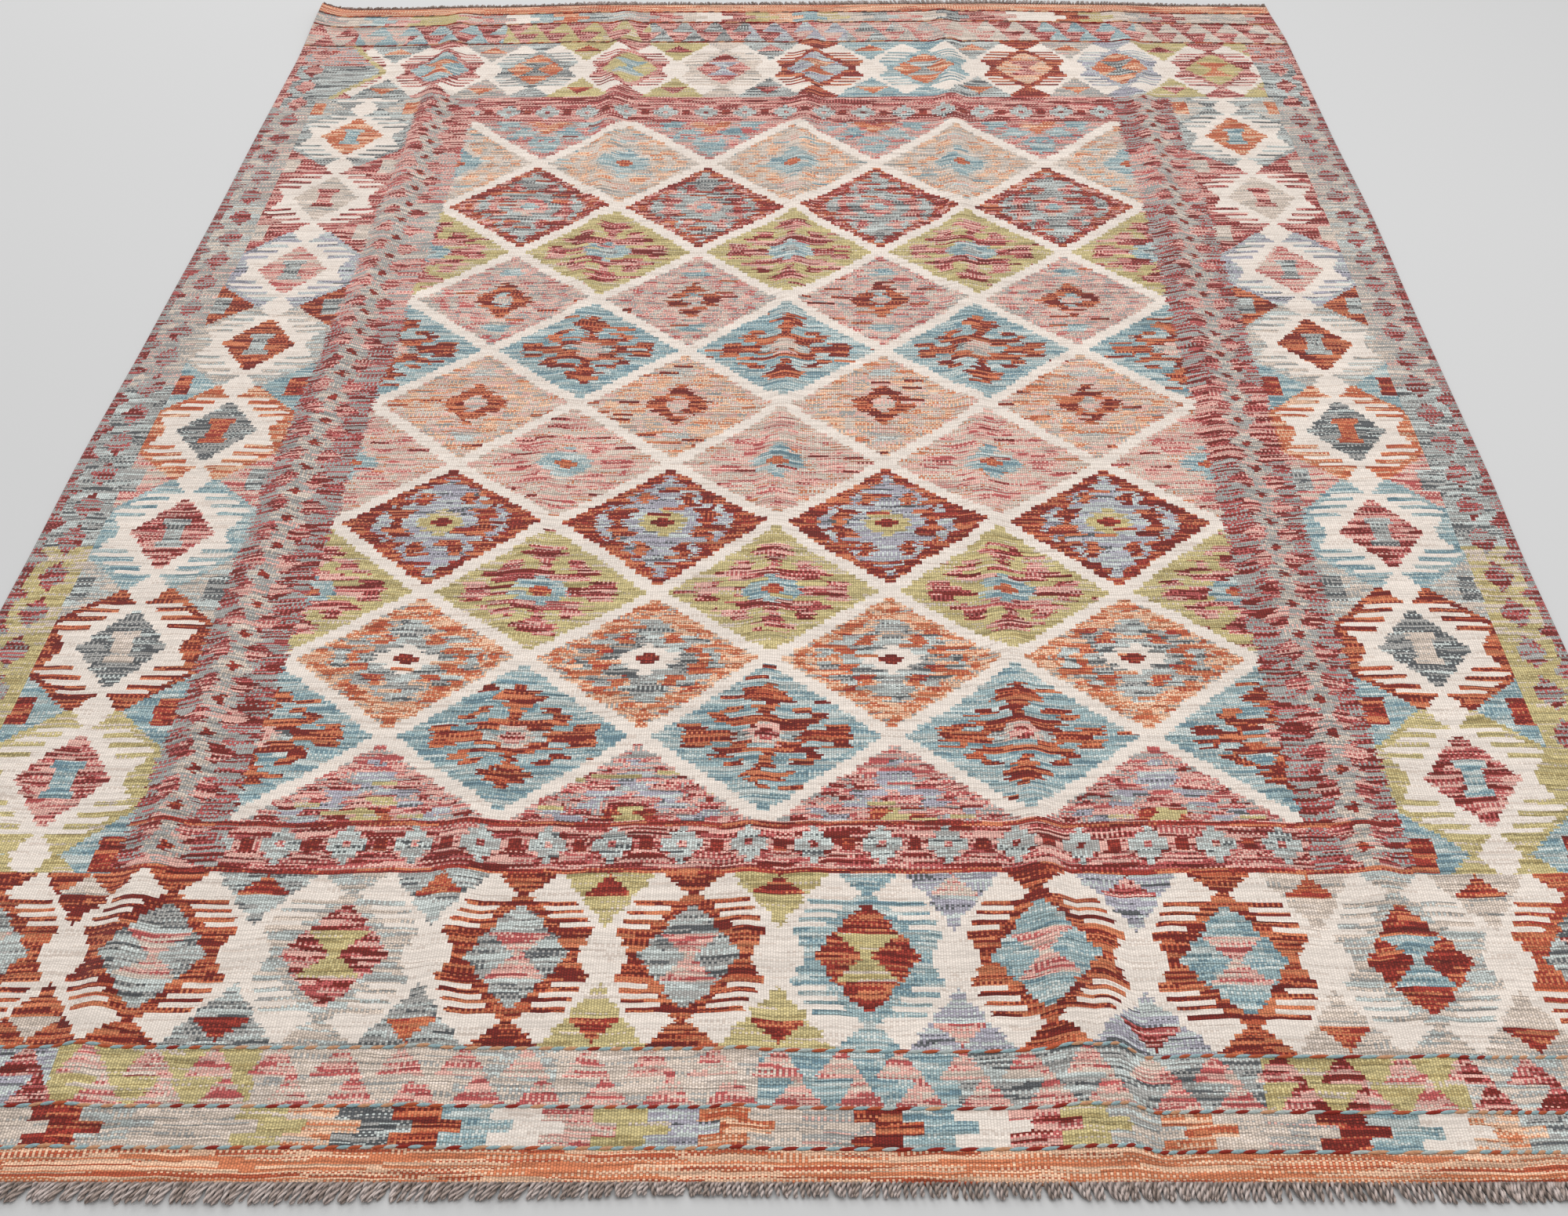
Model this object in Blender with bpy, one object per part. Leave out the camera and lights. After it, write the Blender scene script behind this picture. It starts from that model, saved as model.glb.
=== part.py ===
"""Flat-woven kilim rug lying on a floor: one thin cloth and a short knotted fringe at each end.

Metres, +Z up. The rug lies along Y, its near end at -Y, and the origin is under its middle, on
the floor. The cloth was stored folded in six across its width, so five low creases run along it,
its far end is bowed, and its far left corner curls up a little.
"""
from collections import namedtuple

import bpy
import numpy as np

# Driving dimensions.
WIDTH = 2.00                 # across the wefts, from selvedge to selvedge
LENGTH = 2.90                # woven cloth, without the fringe
CLOTH_THICKNESS = 0.003
EDGE_GAP = 0.0003            # between the cloth's end and the strip that holds the fringe

CREASE_HALF_WIDTH = 0.034    # from a crease's crest to where the cloth is flat again
CREASE_WANDER_REACH = 0.16   # how far beside a crest the cloth's threads follow its wandering
CREASE_PROFILE = (-1.0, -0.6, -0.3, 0.0, 0.3, 0.6, 1.0)   # grid lines over it, in half widths
LINES_BETWEEN_CREASES = 2
ROW_STEP = 0.072             # largest distance between two rows of the grid

TWINING_HEIGHT = 0.0015      # how far a row of two-colour twining stands above the cloth
TWINING_HALF_WIDTH = 0.003
NEAR_TWINING = (0.0412, 0.0894, 0.1610)   # distance of each twined row from the near end
FAR_TWINING = (0.0430, 0.1000, 0.2000)    # and from the far end

LOCKS = 150                  # locks in each fringe
BACKING_WIDTH = 0.004        # woven edge that the locks grow out of
LOCK_TIP_SHARE = 0.52        # a lock's width at its tip, as a share of its width at the root
LOCK_TIP_THICKNESS = 0.0024
LOCK_RIPPLE = 0.06           # uneven length from lock to lock, as a share of the length
LOCK_DROOP = 0.5             # how far a lock hangs back towards the floor from the curled corner

CURL_HEIGHT = 0.015          # lift of the far left corner
CURL_REACH_ACROSS = 0.07     # how far the curl reaches from the corner across the rug
CURL_REACH_ALONG = 0.30      # and along it

# How far the selvedges stray from a straight line: distance from the near end in metres, then
# the left and the right selvedge in millimetres, positive towards +X.
Stray = namedtuple("Stray", "along left right")
SELVEDGES = (
    Stray(0.00, -2.0, -1.0),
    Stray(0.50, -1.5, -4.0),
    Stray(0.94, -1.8, -4.0),
    Stray(1.20, -4.2, 2.0),
    Stray(1.55, 0.5, 3.4),
    Stray(1.95, 3.0, 8.0),
    Stray(2.30, 1.4, 3.0),
    Stray(2.70, 2.0, 1.0),
    Stray(2.90, 1.0, -9.0),
)

# How far the far end bows out past LENGTH, in millimetres, by distance from the left selvedge.
# The bow dies out over BOW_REACH towards the near end.
Bow = namedtuple("Bow", "across out")
FAR_BOW = (
    Bow(0.00, -15.0),
    Bow(0.14, -14.0),
    Bow(0.35, -2.0),
    Bow(0.60, 12.0),
    Bow(0.95, 13.0),
    Bow(1.40, 20.0),
    Bow(1.60, 14.0),
    Bow(1.84, 4.0),
    Bow(2.00, 2.0),
)
BOW_REACH = 0.70

# The five fold creases: distance of the crest from the left selvedge near, halfway and far, in
# metres, then the crest's height in millimetres at the CREASE_STATIONS.
Crease = namedtuple("Crease", "near middle far heights")
CREASE_STATIONS = (0.0, 0.06, 0.28, 0.75, 1.40, 2.05, 2.55, 2.84, 2.90)
CREASES = (
    Crease(0.318, 0.312, 0.300, (0.0, 4.0, 11.0, 8.0, 8.0, 10.0, 11.0, 5.0, 0.0)),
    Crease(0.660, 0.666, 0.644, (0.0, 2.0, 7.0, 3.0, 4.0, 7.5, 11.0, 5.0, 0.0)),
    Crease(0.980, 0.998, 1.030, (0.0, 4.5, 3.0, 5.0, 8.0, 8.0, 8.5, 3.5, 0.0)),
    Crease(1.318, 1.280, 1.308, (0.0, 5.0, 13.0, 7.0, 6.5, 7.5, 9.5, 4.5, 0.0)),
    Crease(1.688, 1.640, 1.676, (0.0, 1.5, 4.0, 5.5, 6.0, 7.5, 7.0, 3.0, 0.0)),
)

# Length of the locks from the cloth's end to the tip, and their sideways lean towards +X, both in
# millimetres, by distance from the left selvedge. The far locks are short where little shows.
Lock = namedtuple("Lock", "across length lean")
NEAR_LOCKS = (
    Lock(0.00, 21.0, -5.0),
    Lock(0.30, 22.0, -7.0),
    Lock(0.52, 25.5, -6.0),
    Lock(0.76, 20.5, -6.0),
    Lock(0.95, 15.5, 1.0),
    Lock(1.10, 18.0, 0.0),
    Lock(1.28, 20.5, 4.0),
    Lock(1.45, 21.5, 1.0),
    Lock(1.62, 24.0, 7.0),
    Lock(1.78, 20.0, 4.0),
    Lock(2.00, 21.5, 4.0),
)
FAR_LOCKS = (
    Lock(0.00, 8.0, 1.0),
    Lock(0.45, 8.0, 2.0),
    Lock(0.60, 14.0, 3.0),
    Lock(0.88, 9.0, -2.0),
    Lock(1.05, 14.0, -3.0),
    Lock(1.20, 18.0, -4.0),
    Lock(1.50, 17.0, 3.0),
    Lock(1.68, 10.0, 2.0),
    Lock(2.00, 9.0, 2.0),
)


def eased(where, stations, values):
    """Values read between the stations with an S-shaped ease, so that no station shows a kink."""
    where = np.clip(np.asarray(where, dtype=float), stations[0], stations[-1])
    stations = np.asarray(stations)
    values = np.asarray(values)
    left = np.clip(np.searchsorted(stations, where, side="right") - 1, 0, len(stations) - 2)
    share = (where - stations[left]) / (stations[left + 1] - stations[left])
    share = share * share * (3.0 - 2.0 * share)
    return values[left] + (values[left + 1] - values[left]) * share


def crest_line(crease, along):
    """Distance of a crease's crest from the left selvedge, at each distance from the near end."""
    return eased(along, (0.0, LENGTH / 2, LENGTH), (crease.near, crease.middle, crease.far))


def selvedge_strays(along):
    """Sideways strays of the left and the right selvedge, in metres."""
    stations = [row.along for row in SELVEDGES]
    left = 0.001 * eased(along, stations, [row.left for row in SELVEDGES])
    right = 0.001 * eased(along, stations, [row.right for row in SELVEDGES])
    return left, right


def far_bow(across, along):
    """How far the cloth's threads are carried out by the bow of the far end, in metres."""
    out = 0.001 * eased(across, [row.across for row in FAR_BOW], [row.out for row in FAR_BOW])
    return out * eased(along, (LENGTH - BOW_REACH, LENGTH), (0.0, 1.0))


def corner_curl(across, along):
    """Lift of the curled corner: it rises with the square of the way into the corner."""
    sideways = np.clip(1.0 - across / CURL_REACH_ACROSS, 0.0, None)
    lengthwise = np.clip(1.0 - (LENGTH - along) / CURL_REACH_ALONG, 0.0, 1.0)
    return CURL_HEIGHT * sideways**2 * lengthwise**2 * (3.0 - 2.0 * lengthwise)


def grid_lines_across():
    """The grid's lengthwise lines: seven over each crease, some in the curl, evenly spread ones."""
    lines = [0.0, CURL_REACH_ACROSS / 3, 2 * CURL_REACH_ACROSS / 3]
    for crease in CREASES:
        over = [crease.middle + CREASE_HALF_WIDTH * step for step in CREASE_PROFILE]
        between = np.linspace(lines[-1], over[0], LINES_BETWEEN_CREASES + 2)[1:-1]
        lines += list(between) + over
    lines += list(np.linspace(lines[-1], WIDTH, LINES_BETWEEN_CREASES + 2)[1:])
    return np.array(lines)


def grid_lines_along():
    """The grid's crosswise lines: three over each twined row and evenly spread ones between."""
    twined = list(NEAR_TWINING) + [LENGTH - from_far for from_far in reversed(FAR_TWINING)]
    lines = [0.0]
    for row in twined + [None]:
        over = [LENGTH]
        if row is not None:
            over = [row - TWINING_HALF_WIDTH, row, row + TWINING_HALF_WIDTH]
        steps = int(np.ceil((over[0] - lines[-1]) / ROW_STEP))
        lines += list(np.linspace(lines[-1], over[0], steps + 1)[1:-1]) + over
    return np.array(lines)


def cloth_points():
    """Plan position, lift and extra thickness of the cloth's grid, as whole arrays."""
    across, along = np.meshgrid(grid_lines_across(), grid_lines_along())
    left, right = selvedge_strays(along)
    share = across / WIDTH
    x = across + left * (1.0 - share) + right * share
    lift = corner_curl(across, along)
    for crease in CREASES:
        aside = (across - crease.middle) / CREASE_HALF_WIDTH
        height = 0.001 * eased(along, CREASE_STATIONS, crease.heights)
        lift += height * np.clip(1.0 - aside * aside, 0.0, None) ** 2
        reach = np.clip(1.0 - np.abs(across - crease.middle) / CREASE_WANDER_REACH, 0.0, None)
        x += (crest_line(crease, along) - crease.middle) * reach * reach * (3.0 - 2.0 * reach)
    raised = np.zeros_like(x)
    for row in list(NEAR_TWINING) + [LENGTH - from_far for from_far in FAR_TWINING]:
        raised[np.isclose(along, row)] = TWINING_HEIGHT
    return x, along + far_bow(across, along), lift, raised


def add_piece(name, points, faces, material):
    """One named mesh object from its points, measured from the near left corner, and faces."""
    mesh = bpy.data.meshes.new(name)
    mesh.from_pydata([tuple(point) for point in points], [], faces)
    mesh.validate()
    mesh.update()
    mesh.materials.append(material)
    piece = bpy.data.objects.new(name, mesh)
    bpy.context.scene.collection.objects.link(piece)
    return piece


def wool(name, colour, roughness):
    """A plain wool material."""
    material = bpy.data.materials.new(name)
    material.use_nodes = True
    surface = material.node_tree.nodes["Principled BSDF"]
    surface.inputs["Base Color"].default_value = (*colour, 1.0)
    surface.inputs["Roughness"].default_value = roughness
    surface.inputs["Metallic"].default_value = 0.0
    return material


def build_cloth(material):
    """The woven cloth: an upper and a lower grid of the same plan, closed by a rim."""
    x, y, lift, raised = cloth_points()
    rows, columns = x.shape
    top = np.stack([x, y, lift + CLOTH_THICKNESS + raised], axis=-1).reshape(-1, 3)
    under = np.stack([x, y, lift], axis=-1).reshape(-1, 3)
    index = np.arange(rows * columns).reshape(rows, columns)
    a, b = index[:-1, :-1].ravel(), index[:-1, 1:].ravel()
    c, d = index[1:, 1:].ravel(), index[1:, :-1].ravel()
    below = rows * columns
    faces = list(zip(a, b, c, d))
    faces += list(zip(a + below, d + below, c + below, b + below))
    rim = np.concatenate([index[0, :-1], index[:-1, -1], index[-1, :0:-1], index[:0:-1, 0]])
    following = np.roll(rim, -1)
    faces += list(zip(rim, rim + below, following + below, following))
    faces = [tuple(int(corner) for corner in face) for face in faces]
    return add_piece("kilim_cloth", np.concatenate([top, under]), faces, material)


def build_fringe(name, end, runs, material):
    """A fringe: a narrow strip along the cloth's end, drawn out into a comb of locks.

    Neighbouring locks share their root corners on the strip. `end` is -1 for the near fringe and
    +1 for the far one, and `runs` is its table of locks.
    """
    row = 0 if end < 0 else -1
    x, y, lift, _ = cloth_points()
    root = np.linspace(x[row, 0], x[row, -1], LOCKS + 1)
    strip_in = np.interp(root, x[row], y[row]) + end * EDGE_GAP
    strip_out = strip_in + end * BACKING_WIDTH
    centre = 0.5 * (root[:-1] + root[1:])
    stations = [run.across for run in runs]
    length = 0.001 * eased(centre, stations, [run.length for run in runs])
    length = length * (1.0 - LOCK_RIPPLE * (0.5 + 0.5 * np.sin(2.4 * np.arange(LOCKS))))
    lean = 0.001 * eased(centre, stations, [run.lean for run in runs])
    half_tip = 0.5 * LOCK_TIP_SHARE * WIDTH / LOCKS
    # A lean never carries a tip past the selvedge.
    tip = np.clip(centre + lean, root[0] + half_tip, root[-1] - half_tip)
    tip_end = np.interp(centre, x[row], y[row]) + end * length
    at_root = np.interp(root, x[row], lift[row])
    at_tip = LOCK_DROOP * np.interp(centre, x[row], lift[row])

    def level(thick, tip_thick):
        """Inner edge, root edge, left tip and right tip corners of one face of the comb."""
        inner = np.stack([root, strip_in, at_root + thick], axis=-1)
        outer = np.stack([root, strip_out, at_root + thick], axis=-1)
        lefts = np.stack([tip - half_tip, tip_end, at_tip + tip_thick], axis=-1)
        rights = np.stack([tip + half_tip, tip_end, at_tip + tip_thick], axis=-1)
        return np.concatenate([inner, outer, lefts, rights])

    points = np.concatenate([level(CLOTH_THICKNESS, LOCK_TIP_THICKNESS), level(0.0, 0.0)])
    below = len(points) // 2
    outer_start = LOCKS + 1
    left_start = 2 * (LOCKS + 1)
    right_start = left_start + LOCKS
    faces = []
    for lock in range(LOCKS):
        inner_a, inner_b = lock, lock + 1
        outer_a, outer_b = outer_start + lock, outer_start + lock + 1
        tip_a, tip_b = left_start + lock, right_start + lock
        upper = [(inner_a, outer_a, outer_b, inner_b), (outer_a, tip_a, tip_b, outer_b)]
        faces += upper
        faces += [tuple(corner + below for corner in reversed(face)) for face in upper]
        walls = [(inner_b, inner_a), (outer_a, tip_a), (tip_a, tip_b), (tip_b, outer_b)]
        if lock == 0:
            walls.append((inner_a, outer_a))
        if lock == LOCKS - 1:
            walls.append((outer_b, inner_b))
        faces += [(b, a, a + below, b + below) for a, b in walls]
    if end > 0:
        faces = [tuple(reversed(face)) for face in faces]
    return add_piece(name, points, faces, material)


def centre_on_origin(pieces):
    """Shift the pieces' points so that the middle of their joint plan lies on the origin."""
    corners = [vertex.co for piece in pieces for vertex in piece.data.vertices]
    plan = np.array([(corner.x, corner.y) for corner in corners])
    middle = 0.5 * (plan.min(axis=0) + plan.max(axis=0))
    for piece in pieces:
        for vertex in piece.data.vertices:
            vertex.co.x -= middle[0]
            vertex.co.y -= middle[1]


for old in list(bpy.data.objects):
    bpy.data.objects.remove(old, do_unlink=True)

taupe = wool("warp_wool", (0.30, 0.26, 0.25), 0.95)
centre_on_origin([
    build_cloth(wool("woven_wool", (0.56, 0.40, 0.33), 0.92)),
    build_fringe("fringe_near", -1, NEAR_LOCKS, taupe),
    build_fringe("fringe_far", 1, FAR_LOCKS, taupe),
])
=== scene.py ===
# %% [markdown]
# # A flat-woven kilim rug
#
# The rug is one wool cloth of two by almost three metres. Its pattern isn't printed: each patch
# is woven with its own yarn, back and forth between neighbouring warps, so every slanted edge is
# a row of small steps and every patch is a little streaky. Five low creases run along it from
# being stored folded, and the cut warp ends make a short grey fringe at both ends.
#
# This lesson makes the cloth and its fringes as meshes, and writes the whole woven pattern as
# formulas in the cloth's material, the way that a weaver works from a small chart and counts.

# %% Load the frame
from collections import namedtuple

import bpy
import numpy as np
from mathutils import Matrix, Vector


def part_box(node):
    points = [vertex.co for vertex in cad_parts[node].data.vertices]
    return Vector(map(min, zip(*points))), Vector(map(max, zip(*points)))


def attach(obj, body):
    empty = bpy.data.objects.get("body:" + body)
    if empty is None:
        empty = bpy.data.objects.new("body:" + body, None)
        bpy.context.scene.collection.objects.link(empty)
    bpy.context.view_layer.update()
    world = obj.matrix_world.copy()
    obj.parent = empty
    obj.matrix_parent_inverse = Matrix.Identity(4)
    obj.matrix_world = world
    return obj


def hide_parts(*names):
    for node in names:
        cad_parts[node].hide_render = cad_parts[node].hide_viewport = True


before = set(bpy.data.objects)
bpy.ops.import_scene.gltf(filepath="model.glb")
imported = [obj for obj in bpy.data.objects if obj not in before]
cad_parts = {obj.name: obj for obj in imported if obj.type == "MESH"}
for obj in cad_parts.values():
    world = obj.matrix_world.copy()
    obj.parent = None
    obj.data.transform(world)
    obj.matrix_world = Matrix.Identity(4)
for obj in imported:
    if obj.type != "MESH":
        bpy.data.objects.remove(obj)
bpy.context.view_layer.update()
CLOTH_LOW, CLOTH_HIGH = (np.array(corner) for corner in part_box("kilim_cloth"))
print("The packed cloth reaches from", CLOTH_LOW.round(4), "to", CLOTH_HIGH.round(4))

# %% [markdown]
# The measures of the part come first. They are the same tables that shaped the solid cloth: its
# size, how far the selvedges stray from a straight line, how the far end is bowed, and where the
# fold creases lie. They are repeated here because this script reads nothing but the frame.

# %% The cloth's measures
MM = 0.001                   # the tables give small lengths in millimetres
WIDTH = 2.00                 # metres from selvedge to selvedge
LENGTH = 2.90                # woven cloth without the fringe
THICKNESS = 0.003
CREASE_HALF_WIDTH = 0.034
CREASE_WANDER_REACH = 0.16   # the threads beside a crest follow it sideways this far
BOW_REACH = 0.70             # the far end's bow fades out over this length
EDGE_CALM = 0.10             # the small waves die out this far from the cloth's edges
CURL_HEIGHT = 0.015          # the far left corner rises by this, and its rise reaches so far
CURL_REACH_ACROSS = 0.07
CURL_REACH_ALONG = 0.30
NEAR_TWINING = (0.0412, 0.0894, 0.1610)   # twined rows, from the near end
FAR_TWINING = (0.0430, 0.1000, 0.2000)    # and from the far end

# Distance from the near end in metres, then the stray of both selvedges in millimetres.
STRAY_ALONG = (0.00, 0.50, 0.94, 1.20, 1.55, 1.95, 2.30, 2.70, 2.90)
STRAY_LEFT = (-2.0, -1.5, -1.8, -4.2, 0.5, 3.0, 1.4, 2.0, 1.0)
STRAY_RIGHT = (-1.0, -4.0, -4.0, 2.0, 3.4, 8.0, 3.0, 1.0, -9.0)

# Distance from the left selvedge in metres, then how far the far end is bowed out in millimetres.
BOW_ACROSS = (0.00, 0.14, 0.35, 0.60, 0.95, 1.40, 1.60, 1.84, 2.00)
BOW_OUT = (-15.0, -14.0, -2.0, 12.0, 13.0, 20.0, 14.0, 4.0, 2.0)

# Each crease: its crest's distance from the left selvedge near, halfway and far, in metres, then
# its height in millimetres at the stations.
Crease = namedtuple("Crease", "near middle far heights")
CREASE_STATIONS = (0.0, 0.06, 0.28, 0.75, 1.40, 2.05, 2.55, 2.84, 2.90)
CREASES = (
    Crease(0.318, 0.312, 0.300, (0.0, 4.0, 11.0, 8.0, 8.0, 10.0, 11.0, 5.0, 0.0)),
    Crease(0.660, 0.666, 0.644, (0.0, 2.0, 7.0, 3.0, 4.0, 7.5, 11.0, 5.0, 0.0)),
    Crease(0.980, 0.998, 1.030, (0.0, 4.5, 3.0, 5.0, 8.0, 8.0, 8.5, 3.5, 0.0)),
    Crease(1.318, 1.280, 1.308, (0.0, 5.0, 13.0, 7.0, 6.5, 7.5, 9.5, 4.5, 0.0)),
    Crease(1.688, 1.640, 1.676, (0.0, 1.5, 4.0, 5.5, 6.0, 7.5, 7.0, 3.0, 0.0)),
)

# Length and sideways lean of the fringe's locks in millimetres, by distance from the left.
NEAR_LOCK_ACROSS = (0.00, 0.30, 0.52, 0.76, 0.95, 1.10, 1.28, 1.45, 1.62, 1.78, 2.00)
NEAR_LOCK_LENGTH = (21.0, 22.0, 25.5, 20.5, 15.5, 18.0, 20.5, 21.5, 24.0, 20.0, 21.5)
NEAR_LOCK_LEAN = (-5.0, -7.0, -6.0, -6.0, 1.0, 0.0, 4.0, 1.0, 7.0, 4.0, 4.0)
FAR_LOCK_ACROSS = (0.00, 0.45, 0.60, 0.88, 1.05, 1.20, 1.50, 1.68, 2.00)
FAR_LOCK_LENGTH = (8.0, 8.0, 14.0, 9.0, 14.0, 18.0, 17.0, 10.0, 9.0)
FAR_LOCK_LEAN = (1.0, 2.0, 3.0, -2.0, -3.0, -4.0, 3.0, 2.0, 2.0)


def eased(where, stations, values):
    """Values between the stations, with the S-shaped ease 3s^2 - 2s^3 of the way s between two."""
    where = np.clip(np.asarray(where, dtype=float), stations[0], stations[-1])
    stations = np.asarray(stations)
    values = np.asarray(values)
    left = np.clip(np.searchsorted(stations, where, side="right") - 1, 0, len(stations) - 2)
    share = (where - stations[left]) / (stations[left + 1] - stations[left])
    share = share * share * (3.0 - 2.0 * share)
    return values[left] + (values[left + 1] - values[left]) * share


# %% [markdown]
# The camera stands a metre before the near end, a little right of the middle and one and a half
# metres up, and looks down at the rug as a person would. A small shift moves the frame without
# turning the camera, so the rug's long sides keep the photo's angles.

# %% Camera
CAMERA_PLACE = (0.0688, -2.534, 1.5635)
CAMERA_PITCH = 51.27         # degrees up from looking straight down
FOCAL_LENGTH = 44.28         # millimetres, on a 36 mm wide sensor
FRAME_SHIFT = -0.03          # share of the frame's width


def add_object(name, data):
    """An object at the origin that shows the data, linked to the scene."""
    thing = bpy.data.objects.new(name, data)
    bpy.context.scene.collection.objects.link(thing)
    return thing


camera_data = bpy.data.cameras.new("photo_camera")
camera_data.lens = FOCAL_LENGTH
camera_data.sensor_width = 36.0
camera_data.shift_x = FRAME_SHIFT
camera = add_object("photo_camera", camera_data)
camera.location = CAMERA_PLACE
camera.rotation_euler = (np.radians(CAMERA_PITCH), 0.0, 0.0)
bpy.context.scene.camera = camera
print("Camera at", CAMERA_PLACE, "with a", FOCAL_LENGTH, "mm lens")

# %% [markdown]
# ## Where the cloth lies
#
# One function carries any point of the flat cloth, given by its distance across from the left
# selvedge and its distance along from the near end, to its place on the floor. The cloth, the
# twined rows and the fringe all use it, so they can't come apart. Modelling it by hand with
# proportional editing would also work, but then nothing else could follow the same surface.

# %% The lie of the cloth
WRINKLES = (   # small soft waves: height in mm, waves per metre across and along, and phase
    (0.35, 3.1, 1.3, 0.4),
    (0.30, -1.7, 2.9, 1.9),
    (0.22, 6.3, -2.2, 4.1),
)


def crest_wander(across, along):
    """How far grid lines near the creases are moved sideways to follow the crests, in metres.

    Each crease adds its crest's way from where it is halfway, times the ease 3s^2 - 2s^3 of a
    share s that falls from one on the crest to nought at CREASE_WANDER_REACH.
    """
    wander = np.zeros(np.broadcast(across, along).shape)
    for crease in CREASES:
        crest = eased(along, (0.0, LENGTH / 2, LENGTH), (crease.near, crease.middle, crease.far))
        reach = np.clip(1.0 - np.abs(across - crease.middle) / CREASE_WANDER_REACH, 0.0, None)
        wander = wander + (crest - crease.middle) * reach * reach * (3.0 - 2.0 * reach)
    return wander


def lie(across, along):
    """Place of the cloth's underside: x, y and height z, before centring.

    x is the distance across, plus the selvedge strays mixed from left to right, plus the wander
    of the creases. y is the distance along plus the bow of the far end. z is the curled corner,
    plus each crease as height times (1 - d^2)^2 at d half widths from its crest, plus a few
    sine waves that die out at the cloth's edges.
    """
    left = MM * eased(along, STRAY_ALONG, STRAY_LEFT)
    right = MM * eased(along, STRAY_ALONG, STRAY_RIGHT)
    share = across / WIDTH
    x = across + left * (1.0 - share) + right * share + crest_wander(across, along)
    sideways = np.clip(1.0 - across / CURL_REACH_ACROSS, 0.0, None)
    lengthwise = np.clip(1.0 - (LENGTH - along) / CURL_REACH_ALONG, 0.0, 1.0)
    z = CURL_HEIGHT * sideways**2 * lengthwise**2 * (3.0 - 2.0 * lengthwise)
    for crease in CREASES:
        aside = np.abs(across - crease.middle) / CREASE_HALF_WIDTH
        height = MM * eased(along, CREASE_STATIONS, crease.heights)
        z = z + height * np.clip(1.0 - aside**2, 0.0, None) ** 2
    from_edge = np.minimum.reduce([across, WIDTH - across, along, LENGTH - along])
    inland = np.clip(from_edge / EDGE_CALM, 0.0, 1.0)
    for height, waves_across, waves_along, start in WRINKLES:
        phase = 2 * np.pi * (waves_across * across + waves_along * along) + start
        z = z + MM * height * inland * (1.0 + np.sin(phase))
    bow = MM * eased(across, BOW_ACROSS, BOW_OUT)
    y = along + bow * eased(along, (LENGTH - BOW_REACH, LENGTH), (0.0, 1.0))
    return x, y, z


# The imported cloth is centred: its left selvedge and near end tell how far it was moved.
edge_x, edge_y, _ = lie(np.zeros(400), np.linspace(0.0, LENGTH, 400))
SHIFT = np.array([CLOTH_LOW[0] - edge_x.min(), CLOTH_LOW[1] - edge_y.min()])
print("The cloth's near left corner lies at", SHIFT.round(4))

# %% [markdown]
# ## Meshes from arrays
#
# Every piece here is a grid of points worked out at once with numpy and handed to Blender in one
# go. Quads between neighbouring grid points are found by shifting the table of point numbers by
# one row and one column.

# %% Mesh helpers


def grid_faces(index, around=False):
    """Quads between the rows and columns of a table of point numbers.

    With `around` the last column joins the first again, as on a tube.
    """
    if around:
        index = np.concatenate([index, index[..., :1]], axis=-1)
    a, b = index[..., :-1, :-1], index[..., :-1, 1:]
    c, d = index[..., 1:, 1:], index[..., 1:, :-1]
    return np.stack([a, b, c, d], axis=-1).reshape(-1, 4)


def add_mesh(name, points, quads, material, corner_values=None, point_values=None):
    """A smooth mesh object at the origin, from arrays of points and quads.

    `corner_values` is a (u, v) pair for each point and becomes the UV map OFBake.
    `point_values` are named numbers for each point, which a material can read.
    """
    mesh = bpy.data.meshes.new(name)
    mesh.from_pydata(points.tolist(), [], quads.tolist())
    if corner_values is not None:
        layer = mesh.uv_layers.new(name="OFBake")
        corners = np.zeros(len(mesh.loops), dtype=np.int32)
        mesh.loops.foreach_get("vertex_index", corners)
        layer.data.foreach_set("uv", corner_values[corners].astype(np.float32).ravel())
    for label, values in (point_values or {}).items():
        attribute = mesh.attributes.new(label, "FLOAT", "POINT")
        attribute.data.foreach_set("value", np.asarray(values, dtype=np.float32).ravel())
    mesh.materials.append(material)
    mesh.shade_smooth()
    mesh.update()
    print(name, "has", len(points), "points and", 2 * len(quads), "triangles")
    return add_object(name, mesh)


# %% [markdown]
# ## Formulas as nodes
#
# A woven pattern is counting, and Blender's Math nodes can count. Linking hundreds of them by
# hand is slow to read, so a small class stands for a node's output, and writing `a + b` or
# `a < b` with it adds the node. The pattern below can then be read as plain formulas.

# %% A number that varies over the cloth


class Number:
    """One varying number: an output socket. Arithmetic on it adds Math nodes to its tree."""

    def __init__(self, socket):
        self.socket = socket

    def __rsub__(self, other):
        return maths("SUBTRACT", other, self)


def operator_for(operation):
    """A method of Number that adds a Math node with this operation."""
    return lambda number, *others: maths(operation, number, *others)


OPERATIONS = {"add": "ADD", "radd": "ADD", "sub": "SUBTRACT", "mul": "MULTIPLY",
              "rmul": "MULTIPLY", "truediv": "DIVIDE", "mod": "FLOORED_MODULO",
              "lt": "LESS_THAN", "gt": "GREATER_THAN", "and": "MULTIPLY", "or": "MAXIMUM",
              "abs": "ABSOLUTE"}
for symbol, operation in OPERATIONS.items():
    setattr(Number, f"__{symbol}__", operator_for(operation))


def maths(operation, *operands):
    """A Math node fed with varying or plain numbers."""
    tree = next(each.socket.id_data for each in operands if isinstance(each, Number))
    node = tree.nodes.new("ShaderNodeMath")
    node.operation = operation
    for port, operand in zip(node.inputs, operands):
        feed(port, operand)
    return Number(node.outputs[0])


def feed(port, value):
    """Link a varying number to a socket, or set a plain one on it."""
    if isinstance(value, Number):
        port.id_data.links.new(value.socket, port)
    else:
        port.default_value = value


def floor(value):
    """The whole number at or below a value."""
    return maths("FLOOR", value)


def nearest(value):
    """The nearest whole number."""
    return maths("FLOOR", value + 0.5)


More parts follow.
